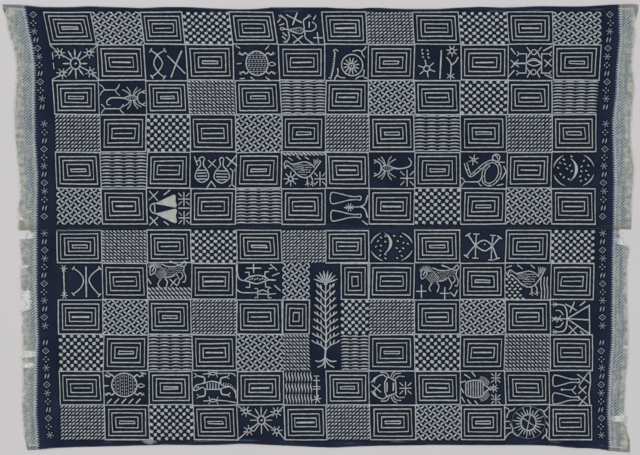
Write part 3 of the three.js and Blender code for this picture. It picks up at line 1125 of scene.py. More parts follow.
# The widths
# Each is a length of plain cotton, torn off at both ends, with its outer edge rolled twice into a narrow
# hem and its inner selvedge turned under at the seam. The sheet follows its solid's outline and ripples.

FACE_SIDE = 8.0
RIM_STEP = 7.0
RIM_CLEAR = 3.2
EDGE_CLEAR = 1.4
TORN_CLEAR = 3.0
WELD = 0.01 * MM
FLAT_TILT = 0.9
WALL_TILT = 0.5
FAR_BELOW = -20.0 * MM
SMOOTHINGS = 10
SHARP_ANGLE = 50

# A place on the rim this far from a width's middle line is on the hem or on the seam.
LONG_EDGE_FROM = 330.0

# Rows of faces lie close together over the hem and beside the seam, and evenly between them.
HEM_ROWS = (1.8, 4.0, 8.5, 11.5, 13.8, 18.0, 24.5)
SEAM_ROWS = (10.5, 7.5, 4.0, 1.6)
PLAIN_FROM_HEM = 32.0
PLAIN_FROM_SEAM = 18.0

# How thick the cloth is at each distance from the hem's edge and from the seam, and the lumps of its slack:
# how wide and how high.
HEM_PROFILE = ((0.0, 1.5), (1.2, 2.1), (4.0, 2.6), (8.5, 2.5), (11.5, 2.1), (13.5, 1.2))
SEAM_PROFILE = ((0.0, 1.3), (1.0, 1.7), (4.0, 2.0), (7.5, 1.8), (10.5, 1.2))
SLACK = ((260.0, 1.3), (70.0, 0.55), (24.0, 0.30))

# Each face keeps the strokes that come closest to it.
KEPT_STROKES = 4
BIN_SIDE = 20.0
NOWHERE = (1e5, 1e5, 0.0, 1e5, 1e5, 0.0)

# Where the dye stops at each end: a level across the cloth, and the place along it.
DYE_EDGE = {
    "left": ((757, -1002), (669, -986), (608, -972), (548, -966), (390, -967), (279, -964), (177, -957),
             (72, -959), (-13, -960), (-215, -960), (-284, -958), (-386, -955), (-447, -958), (-630, -961),
             (-680, -957), (-760, -952)),
    "right": ((757, 1009), (645, 1012), (533, 1002), (462, 1000), (361, 988), (279, 990), (177, 993),
              (18, 991), (-64, 988), (-386, 985), (-477, 977), (-515, 975), (-630, 971), (-674, 974),
              (-760, 977)),
}

# The map that the finished colour is baked through: the face fills most of it, with the back and the rim
# below. Each part's lower and upper limit, and the margin at the sides.
FACE_MAP = (0.372, 0.998)
BACK_MAP = (0.002, 0.342)
RIM_MAP = (0.352, 0.362)
MAP_MARGIN = 0.002


def along_line(line, x):
    """How far across the cloth a line lies at a place along it."""
    return np.interp(x, *line.T)


def along_table(table, level):
    """A value from a table that runs from the upper hem down."""
    return np.interp(level, *zip(*reversed(table)))


def rim_of(node):
    """The corners of a node's underside, in order round its edge, in millimetres, and its surface."""
    shape = bmesh.new()
    shape.from_mesh(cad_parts[node].data)
    bmesh.ops.remove_doubles(shape, verts=shape.verts, dist=WELD)
    surface = BVHTree.FromBMesh(shape)
    near = {}
    for edge in shape.edges:
        tilts = sorted(face.normal.z for face in edge.link_faces)
        if len(tilts) == 2 and tilts[0] < -FLAT_TILT and abs(tilts[1]) < WALL_TILT:
            a, b = (tuple(vert.co.xy) for vert in edge.verts)
            near.setdefault(a, []).append(b)
            near.setdefault(b, []).append(a)
    start = min(near)
    rim = [start, near[start][0]]
    while rim[-1] != start:
        rim.append(next(p for p in near[rim[-1]] if p != rim[-2]))
    shape.free()
    return np.array(rim[:-1]) / MM, surface


def cut_finely(rim):
    """The rim with more places, about RIM_STEP apart."""
    loop = []
    for a, b in zip(rim, np.roll(rim, -1, axis=0)):
        cuts = max(1, round(np.linalg.norm(b - a) / RIM_STEP))
        loop += [a + (b - a) * i / cuts for i in range(cuts)]
    return np.array(loop)


def long_edges(loop, side):
    """A width's hem and seam as lines along the cloth, read from its rim."""
    off = (loop[:, 1] - loop[:, 1].mean()) * side
    edges = (loop[off > LONG_EDGE_FROM], loop[off < -LONG_EDGE_FROM])
    return [line[np.argsort(line[:, 0])] for line in edges]


def inside(points, loop):
    """Which points lie within a closed loop."""
    x, y = points.T
    within = np.zeros(len(points), bool)
    for (x0, y0), (x1, y1) in zip(loop, np.roll(loop, -1, axis=0)):
        if y0 != y1:
            crosses_level = (y0 > y) != (y1 > y)
            within ^= crosses_level & (x < (x1 - x0) * (y - y0) / (y1 - y0) + x0)
    return within


def tree_of(places):
    """A search tree of places on the cloth's plan."""
    tree = KDTree(len(places))
    for i, place in enumerate(places):
        tree.insert((*place, 0), i)
    tree.balance()
    return tree


def lattice_in(loop, hem, seam, side):
    """The sheet's inner places, in rows from the hem to the seam."""
    lattice = []
    for x in np.arange(loop[:, 0].min(), loop[:, 0].max(), FACE_SIDE):
        top = along_line(hem, x)
        deep = abs(top - along_line(seam, x))
        last = deep - PLAIN_FROM_SEAM
        plain = np.linspace(PLAIN_FROM_HEM, last, round((last - PLAIN_FROM_HEM) / FACE_SIDE))
        near_seam = [deep - row for row in SEAM_ROWS]
        lattice += [(x, top - side * down) for down in (*HEM_ROWS, *plain, *near_seam)]
    lattice = np.array(lattice)
    lattice = lattice[inside(lattice, loop)]
    middle = loop[:, 1].mean()
    rim_tree = tree_of([*loop, *(loop + np.roll(loop, -1, axis=0)) / 2])
    clear = [rim_tree.find((x, y, 0))[2] > (EDGE_CLEAR if abs(y - middle) > LONG_EDGE_FROM else RIM_CLEAR)
             for x, y in lattice]
    return lattice[np.array(clear)]


def plan_of(loop, lattice):
    """The sheet from above: its places, and its three-cornered faces turned the same way."""
    points = [Vector(p) for p in (*loop, *lattice)]
    flat, _, faces, *_ = delaunay_2d_cdt(points, [], [list(range(len(loop)))], 1, 1e-6)
    plan = np.array([(p.x, p.y) for p in flat])
    faces = np.array([f for f in faces if len(f) == 3])
    a, b, c = (plan[faces[:, corner]] for corner in range(3))
    turn = (b[:, 0] - a[:, 0]) * (c[:, 1] - a[:, 1]) - (b[:, 1] - a[:, 1]) * (c[:, 0] - a[:, 0])
    faces[turn < 0] = faces[turn < 0][:, ::-1]
    return plan, faces


def underside(plan, faces, surface):
    """The sheet's heights: the solid's underside, smoothed, with the cloth's own slack laid over it."""
    lift = np.array([surface.find_nearest((x * MM, y * MM, FAR_BELOW))[0].z / MM for x, y in plan])
    pairs = np.vstack([faces[:, [0, 1]], faces[:, [1, 2]], faces[:, [2, 0]]])
    for _ in range(SMOOTHINGS):
        total = np.zeros(len(plan))
        count = np.zeros(len(plan))
        for one, other in ((0, 1), (1, 0)):
            np.add.at(total, pairs[:, one], lift[pairs[:, other]])
            np.add.at(count, pairs[:, one], 1)
        lift = 0.5 * lift + 0.5 * total / np.maximum(count, 1)
    slack = np.zeros(len(plan))
    for size, height in SLACK:
        slack += [height * max(0.0, noise.noise(Vector((x / size, y / size, size)))) for x, y in plan]
    return lift + slack


def walls_of(faces):
    """The faces' outer edges, each with its face."""
    used = {}
    for i, (p, q, r) in enumerate(faces):
        for edge in ((p, q), (q, r), (r, p)):
            used[edge] = i
    return [(edge, i) for edge, i in used.items() if edge[::-1] not in used]


def nearest_strokes(places):
    """For each place, the few strokes of the pattern that come closest to it."""
    table = np.array(strokes)
    starts, ends = table[:, :2], table[:, 3:5]
    widest = np.maximum(table[:, 2], table[:, 5])[:, None] + FACE_SIDE
    low, high = np.minimum(starts, ends) - widest, np.maximum(starts, ends) + widest
    found = np.tile(np.array(NOWHERE), (len(places), KEPT_STROKES, 1))
    bins = np.floor(places / BIN_SIDE).astype(int)
    order = np.lexsort((bins[:, 1], bins[:, 0]))
    edges = np.flatnonzero(np.any(np.diff(bins[order], axis=0), axis=1)) + 1
    for group in np.split(order, edges):
        corner = bins[group[0]] * BIN_SIDE
        some = table[np.all((low < corner + BIN_SIDE) & (high > corner), axis=1)]
        if not len(some):
            continue
        run = some[:, 3:5] - some[:, :2]
        away = places[group][:, None] - some[None, :, :2]
        share = np.clip((away * run).sum(2) / np.maximum((run * run).sum(1), 1e-9), 0, 1)
        gap = np.linalg.norm(away - share[..., None] * run, axis=2)
        gap -= some[:, 2] + (some[:, 5] - some[:, 2]) * share
        best = np.argsort(gap, axis=1)[:, :KEPT_STROKES]
        found[group, :best.shape[1]] = some[best]
    return found


def keep_values(mesh, name, kind, domain, values):
    """Lays a named value or vector on each point or face of a mesh."""
    layer = mesh.attributes.new(name, kind, domain)
    field = "vector" if kind == "FLOAT_VECTOR" else "value"
    layer.data.foreach_set(field, np.ravel(values).astype(np.float32))


def keep_map(mesh, plan, faces, walls):
    """Lays the map for the baked colour on a sheet."""
    share = (plan - plan.min(0)) / (plan.max(0) - plan.min(0))
    u = MAP_MARGIN + (1 - 2 * MAP_MARGIN) * share[:, 0]
    face_map, back_map = (np.column_stack([u, low + (high - low) * share[:, 1]])
                          for low, high in (FACE_MAP, BACK_MAP))
    low, high = RIM_MAP
    rim_map = []
    for n in range(walls):
        u0, u1 = n / walls, (n + 1) / walls
        rim_map += [(u1, high), (u0, high), (u0, low), (u1, low)]
    corners = np.vstack([face_map[faces].reshape(-1, 2), back_map[faces[:, ::-1]].reshape(-1, 2), rim_map])
    mesh.uv_layers.new(name="OFBake").data.foreach_set("uv", corners.astype(np.float32).ravel())


def torn_edges_of(loop, ends, plan, middles):
    """The torn edges: place, the height of the middle of the cloth there, and the way out across the edge."""
    run = np.roll(loop, -1, axis=0) - np.roll(loop, 1, axis=0)
    out = np.column_stack([run[:, 1], -run[:, 0]]) / np.linalg.norm(run, axis=1)[:, None]
    turning = np.sum(loop[:, 0] * np.roll(loop[:, 1], -1) - np.roll(loop[:, 0], -1) * loop[:, 1])
    grid = tree_of(plan)
    return np.array([(*loop[i], middles[grid.find((*loop[i], 0))[1]], *(out[i] * math.copysign(1, turning)))
                     for i in ends])


def width_mesh(node, side):
    """The cotton of one width, its torn edges and its long edges. side is 1 for the upper width."""
    rim, surface = rim_of(node)
    loop = cut_finely(rim)
    hem, seam = long_edges(loop, side)
    plan, faces = plan_of(loop, lattice_in(loop, hem, seam, side))
    to_hem, to_seam = (np.abs(along_line(line, plan[:, 0]) - plan[:, 1]) for line in (hem, seam))
    thick = np.maximum(np.interp(to_hem, *zip(*HEM_PROFILE)), np.interp(to_seam, *zip(*SEAM_PROFILE)))
    under = underside(plan, faces, surface)

    # The closed sheet: the face, the back, and a wall along the rim.
    count = len(plan)
    walls = walls_of(faces)
    places = np.vstack([np.column_stack([plan, under + thick]), np.column_stack([plan, under])]) * MM
    quads = [(q, p, p + count, q + count) for (p, q), _ in walls]
    mesh = bpy.data.meshes.new(node)
    mesh.from_pydata(places.tolist(), [], [*faces.tolist(), *(faces[:, ::-1] + count).tolist(), *quads])

    ink = nearest_strokes(plan[faces].mean(1))
    ink = np.vstack([ink, ink, ink[[i for _, i in walls]]])
    for k in range(KEPT_STROKES):
        keep_values(mesh, f"stroke_{k}_start", "FLOAT_VECTOR", "FACE", ink[:, k, :3])
        keep_values(mesh, f"stroke_{k}_end", "FLOAT_VECTOR", "FACE", ink[:, k, 3:])
    ends = [i for i, (x, y) in enumerate(loop)
            if min(abs(along_line(line, x) - y) for line in (hem, seam)) > TORN_CLEAR]
    torn = tree_of(loop[ends])
    to_torn = np.array([torn.find((*place, 0))[2] for place in plan])
    left, right = (along_table(DYE_EDGE[end], plan[:, 1]) for end in ("left", "right"))
    bare = np.maximum(left - plan[:, 0], plan[:, 0] - right)
    for name, value in (("bare", bare), ("to_hem", to_hem), ("to_seam", to_seam), ("to_torn", to_torn)):
        keep_values(mesh, name, "FLOAT", "POINT", np.tile(value, 2))

    keep_map(mesh, plan, faces, len(walls))
    mesh.validate()
    mesh.shade_smooth()
    mesh.set_sharp_from_angle(angle=math.radians(SHARP_ANGLE))
    return mesh, torn_edges_of(loop, ends, plan, under + thick * 0.5), {"hem": hem, "seam": seam}


# The dyed cotton

TURN = 2 * math.pi
INDIGO = colour(23, 30, 48)
INDIGO_WORN = colour(33, 41, 61)
INDIGO_NEAR = colour(21, 26, 35)
INDIGO_EDGE = colour(31, 40, 62)
RESIST = colour(187, 193, 194)
RESIST_DULL = colour(154, 163, 172)
RESIST_CREAM = colour(176, 180, 163)
RESIST_ENDS = colour(142, 154, 174)
RAW_COTTON = colour(184, 184, 174)
RAW_SHADE = colour(134, 141, 138)
RAW_EDGE = colour(206, 205, 194)
PALE_LINE = colour(168, 178, 184)
STREAK_PALE = colour(176, 183, 180)
STREAK_DARK = colour(46, 62, 84)
STREAK_STAIN = colour(94, 110, 130)
TOOTH_BLUE = colour(122, 137, 160)
HEM_LIP = colour(170, 172, 160)
# The worn hem's colour, also used for the painted highlight on the seam's ridge.
HEM_WEAR_AND_RIDGE_HIGHLIGHT = colour(88, 102, 122)
HEM_RAW = {"left": colour(92, 110, 126), "right": colour(126, 124, 118)}
# Brownish painted shadow along the seam on the bare cotton.
SEAM_SHADOW_BROWN = colour(132, 132, 114)
SEAM_DARK = colour(27, 33, 43)
# Painted highlight of a small fold near the lower hem.
FOLD_HIGHLIGHT = colour(150, 162, 172)

COMB_PITCH = 8.3
COMB_DEPTH = 4.0
STREAK_PITCH = 9.7
STREAK_SLANT = 0.85
HEM_DEEP = 11.5
WEAVE_PITCH = 1.3
# Where the painted fold highlight lies.
FOLD_HIGHLIGHT_PLACE = (-578.0, -724.0, 0.0)

FLAT = (1.0, 1.0, 0.0)

dyed, dyed_shader, here = new_material(
    "indigo resist cotton", {"Specular IOR Level": 0.12, "Sheen Weight": 0.05})


def attribute(name, output="Fac"):
    return here.node("ShaderNodeAttribute", {"attribute_name": name}, {}, output)


def between(wire, start, full, fading, end):
    """1 from full to fading, and 0 before start and past end."""
    return wire.spread(start, full) * wire.spread(fading, end, 1.0, 0.0)


def stroke_gap(place, start, end):
    """How far a place lies outside a stroke. A stroke's ends are its two places and half widths."""
    run = (end - start) * FLAT
    share = ((place - start) * FLAT).maths("DOT_PRODUCT", run) / run.maths("DOT_PRODUCT", run)
    nearest = start + (end - start) * share.clamped()
    return ((place - nearest) * FLAT).maths("LENGTH") - nearest.part("Z")


unsteady = (here.grain(9.0, 2.0, "Color") - (0.5, 0.5, 0.5)) * 1.6
gap = None
for k in range(KEPT_STROKES):
    start, end = (attribute(f"stroke_{k}_{name}", "Vector") for name in ("start", "end"))
    one = stroke_gap(here + unsteady, start, end)
    gap = one if gap is None else gap.least(one)

bare = attribute("bare") - 2.0
to_hem = attribute("to_hem")
to_seam = attribute("to_seam")
to_torn = attribute("to_torn")
along = here.part("X")
across = here.part("Y")
to_right = along.spread(-100.0, 100.0)

# Round each line the dye takes darker, in the open it is bluer, and towards the ends it is more worn.
open_dye = gap.spread(3.0, 8.0)
blotch = here.grain(180.0, 4.0).spread(0.35, 0.7)
open_blue = bare.spread(-60.0, 0.0).mixed(blotch.mixed(INDIGO, INDIGO_WORN), INDIGO_EDGE)
ground = open_dye.mixed(INDIGO_NEAR, open_blue)
dulled = here.grain(16.0, 4.0).spread(0.3, 0.7).mixed(RESIST, RESIST_DULL)
dulled = gap.spread(-4.4, -3.2, 1.0, 0.0).mixed(dulled, RESIST_CREAM)
dulled = bare.spread(-56.0, -46.0).mixed(dulled, RESIST_ENDS)
resist = gap.spread(-1.1, 0.9, 1.0, 0.0)
pattern = resist.mixed(ground, dulled)

# The hems and the seam: doubled cloth, worn pale along the hems' folds, with a painted highlight along the
# seam's ridge.
lengthwise_noise = (here * (0.16, 1.0, 1.0)).grain(13.0, 4.0)
fold_wear = to_hem.spread(0.0, 5.5, 1.0, 0.0) * lengthwise_noise.spread(0.40, 0.66)
lip_wear = between(to_hem, HEM_DEEP - 1.0, HEM_DEEP + 0.5, HEM_DEEP + 2.0, HEM_DEEP + 5.0)
lip_wear *= lengthwise_noise.spread(0.50, 0.68)
pattern = (fold_wear * 0.9).most(lip_wear * 0.6).mixed(pattern, HEM_WEAR_AND_RIDGE_HIGHLIGHT)
# Along the seam: darker in the middle, and a painted highlight, broken up by noise, along its ridge.
seam_ridge_highlight = between(to_seam, 5.0, 8.0, 9.5, 13.0) * lengthwise_noise.spread(0.48, 0.68)
pattern = (to_seam.spread(3.0, 8.0, 1.0, 0.0) * 0.6).mixed(pattern, SEAM_DARK)
pattern = (seam_ridge_highlight * 0.22).mixed(pattern, HEM_WEAR_AND_RIDGE_HIGHLIGHT)
# Painted highlight: a pale patch near the lower hem, where a small fold catches the light.
from_fold_highlight = ((here - FOLD_HIGHLIGHT_PLACE) * (0.055, 0.16, 0.0)).maths("LENGTH") + (here.grain(9.0, 3.0) - 0.5) * 1.6
pattern = from_fold_highlight.spread(0.5, 1.5, 0.8, 0.0).mixed(pattern, FOLD_HIGHLIGHT)

# The bare ends: a comb of stitch marks where the dye stops, a pale line, a strip of slanting streaks that
# is narrower in the lower part of the left end, and then plain cotton.
yarn = (here * (0.05, 1.0, 1.0)).grain(2.2, 2.0) + (here * (1.0, 0.05, 1.0)).grain(2.2, 2.0)
raw = (here.grain(16.0, 5.0) * 0.7 + yarn * 0.3).spread(0.50, 0.80).mixed(RAW_COTTON, RAW_SHADE)
patchy = here.grain(110.0, 3.0)
unevenly = bare + (here.grain(26.0, 3.0) - 0.5) * 22.0
slanting = (across - along * STREAK_SLANT) * (TURN / STREAK_PITCH) + (here.grain(14.0, 2.0) - 0.5) * 6.0
streaked = slanting.sine().spread(-0.3, 0.4).mixed(STREAK_PALE, STREAK_DARK)
in_columns = (here * (1.0, 0.07, 1.0)).grain(8.0, 2.0).spread(0.34, 0.56, 0.55, 1.0)
strip = between(unevenly, 2.0, 8.0, 32.0, 44.0) * patchy.spread(0.30, 0.65, 1.0, 0.62) * in_columns
low_left = across.spread(60.0, 260.0, 1.0, 0.0) * (1.0 - to_right)
narrower = 1.0 - low_left * unevenly.spread(20.0, 28.0) * 0.75
between_strips = between(unevenly, 15.0, 18.0, 22.0, 26.0) * to_right
raw = (strip * (1.0 - between_strips * 0.6) * narrower).mixed(raw, streaked)
stain = (here * (1.0, 0.10, 1.0)).grain(10.0, 3.0).spread(0.42, 0.66)
stain *= between(unevenly, 4.0, 12.0, 34.0, 48.0)
raw = (stain * narrower * 0.5).mixed(raw, STREAK_STAIN)
pale_line = between(bare + unevenly * 0.3, 2.0, 5.0, 9.0, 14.0)
raw = (pale_line * 0.5).mixed(raw, PALE_LINE)
raw = bare.spread(-2.0, 4.0, 0.8, 0.0).mixed(raw, TOOTH_BLUE)
raw_hem = to_right.mixed(HEM_RAW["left"], HEM_RAW["right"])
raw = between(to_hem, HEM_DEEP, HEM_DEEP + 2.0, HEM_DEEP + 5.0, HEM_DEEP + 9.0).mixed(raw, HEM_LIP)
on_hem = to_hem.spread(HEM_DEEP - 2.5, HEM_DEEP, 1.0, 0.0)
raw = (on_hem * lengthwise_noise.spread(0.3, 0.6, 0.95, 0.55)).mixed(raw, raw_hem)
# Painted shadow: a brownish line along the seam on the bare cotton, mostly on the upper width, fading away
# from the seam.
raw = (to_seam.spread(2.0, 24.0, 0.8, 0.0) * across.spread(-9.0, -2.0)).mixed(raw, SEAM_SHADOW_BROWN)
raw = (to_torn + (here.grain(7.0, 3.0) - 0.5) * 7.0).spread(0.5, 4.5, 0.9, 0.0).mixed(raw, RAW_EDGE)
teeth = ((across + along * 0.25) * (TURN / COMB_PITCH) + (here.grain(30.0, 1.0) - 0.5) * 3.0).sine()
dye_edge = (bare + teeth * COMB_DEPTH + (here.grain(5.0, 2.0) - 0.5) * 4.0).spread(-1.3, 1.3)
dye_edge.mixed(pattern, raw).feed(dyed_shader, "Base Color")

# The weave: uneven yarns both ways, and a slight pucker where the lines were stitched.
pucker = gap.spread(-2.5, 1.5, 0.12, 0.0)
grid = (along * (TURN / WEAVE_PITCH)).sine() * (across * (TURN / WEAVE_PITCH)).sine()
relief = yarn * 0.16 + grid * 0.03 + pucker
weave = relief.node("ShaderNodeBump", {}, {"Strength": 0.7, "Distance": MM, "Height": relief})
weave.feed(dyed_shader, "Normal")
(yarn * 0.12 + 0.80).feed(dyed_shader, "Roughness")

WIDTHS = {"upper_width": 1, "lower_width": -1}
widths = {}
torn_edges = {}
side_lines = {}
for node, side in WIDTHS.items():
    cotton_mesh, torn_edges[node], side_lines[node] = width_mesh(node, side)
    cotton = add_object(f"{node}_cotton", cotton_mesh)
    cotton.data.materials.append(dyed)
    low, high = (Vector(corner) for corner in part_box(node))
    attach(cotton, "root")
    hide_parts(node)
    widths[node] = cotton

# The stitches
# Dark cotton thread: a running stitch holds each rolled hem down, and slanting stitches over the seam hold
# the two widths together.

HEM_STITCH = {"pitch": 6.4, "long": 3.8, "inset": 9.6, "from_end": 8.0}
SEAM_STITCH = {"pitch": 5.6, "reach": 3.4, "slant": 1.6, "from_end": 10.0, "longest": 10.2}


def thread_tree():
    """Lays one thread from each point along its own turn, bent, arched and thinner towards its tip."""
    tree = bpy.data.node_groups.new("laid threads", "GeometryNodeTree")
    tree.interface.new_socket("Threads", in_out="OUTPUT", socket_type="NodeSocketGeometry")
    identifiers = {}
    for label, kind in (("Roots", "Geometry"), ("Radius", "Float"), ("Tip", "Float"), ("Bend", "Float"),
                        ("Arch", "Float"), ("Steps", "Int"), ("Sides", "Int"), ("Seed", "Float"),
                        ("Material", "Material")):
        made = tree.interface.new_socket(label, in_out="INPUT", socket_type=f"NodeSocket{kind}")
        identifiers[label] = made.identifier
    given = tree.nodes.new("NodeGroupInput").outputs
    taken = {label: Wire(tree, given[label]) for label in identifiers}
    roots = taken["Roots"]

    straight = roots.node("GeometryNodeCurvePrimitiveLine", {}, {"End": (1.0, 0.0, 0.0)})
    straight = roots.node("GeometryNodeResampleCurve", {}, {"Curve": straight, "Count": taken["Steps"]})
    turn = roots.node("GeometryNodeInputNamedAttribute", {"data_type": "FLOAT_VECTOR"}, {"Name": "turn"})
    long = roots.node("GeometryNodeInputNamedAttribute", {"data_type": "FLOAT"}, {"Name": "long"})
    laid = roots.node("GeometryNodeInstanceOnPoints", {},
                      {"Points": roots, "Instance": straight, "Rotation": turn, "Scale": long})
    laid = roots.node("GeometryNodeRealizeInstances", {}, {"Geometry": laid})

    share = roots.node("GeometryNodeSplineParameter")
    place = roots.node("GeometryNodeInputPosition")
    swing = place.node("ShaderNodeTexNoise", {"noise_dimensions": "4D"},
                       {"Vector": place, "W": taken["Seed"], "Scale": 140.0, "Detail": 1.0}, "Color")
    sway = (swing - (0.5, 0.5, 0.5)) * (1.0, 1.0, 0.1) * (taken["Bend"] * share)
    rise = taken["Arch"] * 4.0 * share * (1.0 - share)
    lifted = roots.node("ShaderNodeCombineXYZ", {}, {"Z": rise})
    laid = roots.node("GeometryNodeSetPosition", {}, {"Geometry": laid, "Offset": sway + lifted})
    thinning = 1.0 - share * (1.0 - taken["Tip"])
    laid = roots.node("GeometryNodeSetCurveRadius", {}, {"Curve": laid, "Radius": thinning})
    ring = roots.node("GeometryNodeCurvePrimitiveCircle", {},
                      {"Resolution": taken["Sides"], "Radius": taken["Radius"]})
    solid = roots.node("GeometryNodeCurveToMesh", {},
                       {"Curve": laid, "Profile Curve": ring, "Fill Caps": True})
    solid = roots.node("GeometryNodeRealizeInstances", {}, {"Geometry": solid})
    solid = roots.node("GeometryNodeSetMaterial", {}, {"Geometry": solid, "Material": taken["Material"]})
    tree.links.new(solid.socket, tree.nodes.new("NodeGroupOutput").inputs["Threads"])
    return tree, identifiers


laid_threads, thread_inputs = thread_tree()


def lay_threads(name, rows, material, slot, **sizes):
    """One piece of threads. A row is a root's place, its turn as an Euler and its length, in millimetres."""
    roots = bpy.data.meshes.new(name)
    roots.from_pydata([Vector(row[:3]) * MM for row in rows], [], [])
    keep_values(roots, "turn", "FLOAT_VECTOR", "POINT", [row[3:6] for row in rows])
    keep_values(roots, "long", "FLOAT", "POINT", [row[6] * MM for row in rows])
    piece = add_object(name, roots)
    modifier = piece.modifiers.new("threads", "NODES")
    modifier.node_group = laid_threads
    for label, value in {**sizes, "Material": material}.items():
        modifier[thread_inputs[label]] = value
    seen = piece.evaluated_get(bpy.context.evaluated_depsgraph_get())
    solid = bpy.data.meshes.new_from_object(seen)
    piece.modifiers.clear()
    piece.data = solid
    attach(piece, "root")
    return piece


def surface_of(cotton):
    shape = bmesh.new()
    shape.from_mesh(cotton.data)
    tree = BVHTree.FromBMesh(shape)
    shape.free()
    return tree


def height_at(surface, x, y):
    """The height of the cloth's face at a place, or None off the cloth."""
    hit = surface.ray_cast((x * MM, y * MM, 50 * MM), (0, 0, -1))[0]
    return hit.z / MM if hit else None


THREAD_BLUE = colour(38, 46, 64)
THREAD_PALE = colour(62, 72, 90)

thread_material, thread_shader, thread_place = new_material(
    "dark sewing thread", {"Roughness": 0.85, "Specular IOR Level": 0.2})
twist = ((thread_place.part("X") + thread_place.part("Y")) * 5.0).sine()
thread_tone = (thread_place.grain(6.0, 3.0) * 0.8 + twist * 0.12).spread(0.25, 0.65)
thread_tone.mixed(THREAD_BLUE, THREAD_PALE).feed(thread_shader, "Base Color")

surfaces = {node: surface_of(cotton) for node, cotton in widths.items()}


def stitch(*ends):
    """One stitch as a row, or none where an end is off the cloth. An end is its place and its width."""
    (x0, y0, z0), (x1, y1, z1) = ((x, y, height_at(surfaces[node], x, y)) for x, y, node in ends)
    if not z0 or not z1:
        return []
    run = math.hypot(x1 - x0, y1 - y0)
    return [(x0, y0, z0, 0, math.atan2(z0 - z1, run), math.atan2(y1 - y0, x1 - x0), run)]


hem_rows = []
for node, side in WIDTHS.items():
    line = side_lines[node]["hem"]
    first, last = line[0, 0] + HEM_STITCH["from_end"], line[-1, 0] - HEM_STITCH["from_end"]
    for x in np.arange(first, last, HEM_STITCH["pitch"]):
        x0 = x + wobble(0.5)
        x1 = x0 + HEM_STITCH["long"] + wobble(0.4)
        y0, y1 = (along_line(line, end) - side * HEM_STITCH["inset"] + wobble(0.35) for end in (x0, x1))
        hem_rows += stitch((x0, y0, node), (x1, y1, node))
lay_threads("hem_stitches", hem_rows, thread_material, "indigo_cotton",
            Radius=0.36 * MM, Tip=1.0, Bend=0.0, Arch=0.28 * MM, Steps=5, Sides=5, Seed=3.0)

seam_rows = []
seam_upper, seam_lower = (side_lines[node]["seam"] for node in WIDTHS)
first = max(seam_upper[0, 0], seam_lower[0, 0]) + SEAM_STITCH["from_end"]
last = min(seam_upper[-1, 0], seam_lower[-1, 0]) - SEAM_STITCH["from_end"]
for x in np.arange(first, last, SEAM_STITCH["pitch"]):
    x0 = x + wobble(0.6)
    x1 = x0 + SEAM_STITCH["slant"] + wobble(0.6)
    y0 = along_line(seam_upper, x0) + SEAM_STITCH["reach"] + wobble(0.5)
    y1 = along_line(seam_lower, x1) - SEAM_STITCH["reach"] + wobble(0.5)
    if y0 - y1 < SEAM_STITCH["longest"]:
        seam_rows += stitch((x0, y0, "upper_width"), (x1, y1, "lower_width"))
lay_threads("seam_stitches", seam_rows, thread_material, "indigo_cotton",
            Radius=0.38 * MM, Tip=1.0, Bend=0.0, Arch=0.35 * MM, Steps=6, Sides=5, Seed=5.0)

# The loose threads
# Undyed cotton yarn that has come out of the weave at both torn ends. It stands out as a short fringe, and
# in the tears it lies across the gap in thick wisps.

FRINGE = {"pitch": 1.15, "layers": 1, "splay": 0.7, "short": 3.0, "long": 7.5, "stray": 15.0, "strays": 0.08}
WISP = {"pitch": 0.5, "layers": 3, "splay": 0.12, "onto": 0.55, "onto_most": 26.0, "over": 0.4}

# A bite is where the torn edge faces out and lies deeper than this behind its neighbours. How much of its
# depth a wisp covers depends on how wide it is.
BITE = {"deep": 11.0, "look": 42.0, "facing": 0.35, "wide": 38.0}
WISP_REACH = {"wide": (0.15, 0.5), "narrow": (0.45, 1.05)}
ROOT_DEEP = 1.5
FLOOR_CLEAR = 0.35
STEEPEST = 0.8

YARN_PALE = colour(238, 239, 235)
YARN_DULL = colour(218, 219, 213)

yarn_material, yarn_shader, yarn_place = new_material(
    "loose cotton yarn", {"Roughness": 0.95, "Specular IOR Level": 0.1})
yarn_tone = (yarn_place.grain(8.0, 3.0) * 0.6 + yarn_place.grain(60.0, 1.0) * 0.4).spread(0.35, 0.65)
yarn_tone.mixed(YARN_PALE, YARN_DULL).feed(yarn_shader, "Base Color")


def bite_at(edges, x, y, side):
    """How deep a place on the torn edge lies behind its neighbours, and how wide the gap is there."""
    look = BITE["look"]
    near = edges[(np.abs(edges[:, 1] - y) < look) & (edges[:, 0] * side > 0)]
    depth = (near[:, 0] * side).max() - x * side
    beyond = near[near[:, 0] * side > x * side + depth * 0.5][:, 1] - y
    return depth, min(beyond[beyond > 0], default=look) - max(beyond[beyond < 0], default=-look)


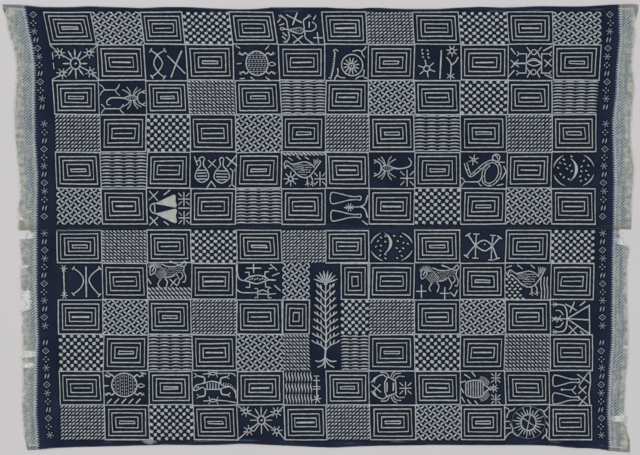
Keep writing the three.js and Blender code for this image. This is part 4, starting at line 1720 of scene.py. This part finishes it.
def loose_rows(edges, surface):
    """Roots along one width's torn edges, as fringe and as wisps. Some wisps start on the cloth's face."""
    fringe = []
    wisps = []
    for (x, y, z, out_x, out_y), after in zip(edges, edges[1:]):
        step = math.hypot(after[0] - x, after[1] - y)
        if step > RIM_STEP * 2:
            continue
        side = math.copysign(1, x)
        depth, wide = bite_at(edges, x, y, side)
        bitten = depth > BITE["deep"] and out_x * side > BITE["facing"]
        reach = WISP_REACH["wide" if wide > BITE["wide"] else "narrow"]
        sizes, rows = (WISP, wisps) if bitten else (FRINGE, fringe)
        for layer in range(sizes["layers"]):
            for _ in range(max(1, round(step / sizes["pitch"]))):
                share = rng.random()
                root_x = x + (after[0] - x) * share - out_x * ROOT_DEEP
                root_y = y + (after[1] - y) * share - out_y * ROOT_DEEP
                top = z
                if bitten:
                    if layer:
                        onto = min(sizes["onto_most"], depth * sizes["onto"]) * rng.random() ** 2
                        root_x -= side * onto
                        top = (height_at(surface, root_x, root_y) or z) + sizes["over"]
                    else:
                        onto = 0.0
                    long = onto + depth * rng.uniform(*reach)
                    yaw = 0 if side > 0 else math.pi
                else:
                    if rng.random() < sizes["strays"]:
                        long = sizes["stray"] * rng.random()
                    else:
                        long = rng.uniform(sizes["short"], sizes["long"])
                    yaw = math.atan2(out_y, out_x)
                yaw += wobble(sizes["splay"])
                drop = max(0.0, z - FLOOR_CLEAR) * rng.uniform(0.55, 1.0)
                rows.append((root_x, root_y, top, 0, math.asin(min(STEEPEST, drop / long)), yaw, long))
    return fringe, wisps


fringe_rows = []
wisp_rows = []
for node in WIDTHS:
    fringe, wisps = loose_rows(torn_edges[node], surfaces[node])
    fringe_rows += fringe
    wisp_rows += wisps
lay_threads("fringe_threads", fringe_rows, yarn_material, "raw_cotton",
            Radius=0.34 * MM, Tip=0.45, Bend=3.0 * MM, Arch=0.0, Steps=4, Sides=3, Seed=11.0)
lay_threads("wisp_threads", wisp_rows, yarn_material, "raw_cotton",
            Radius=0.42 * MM, Tip=0.6, Bend=6.0 * MM, Arch=0.0, Steps=7, Sides=3, Seed=13.0)
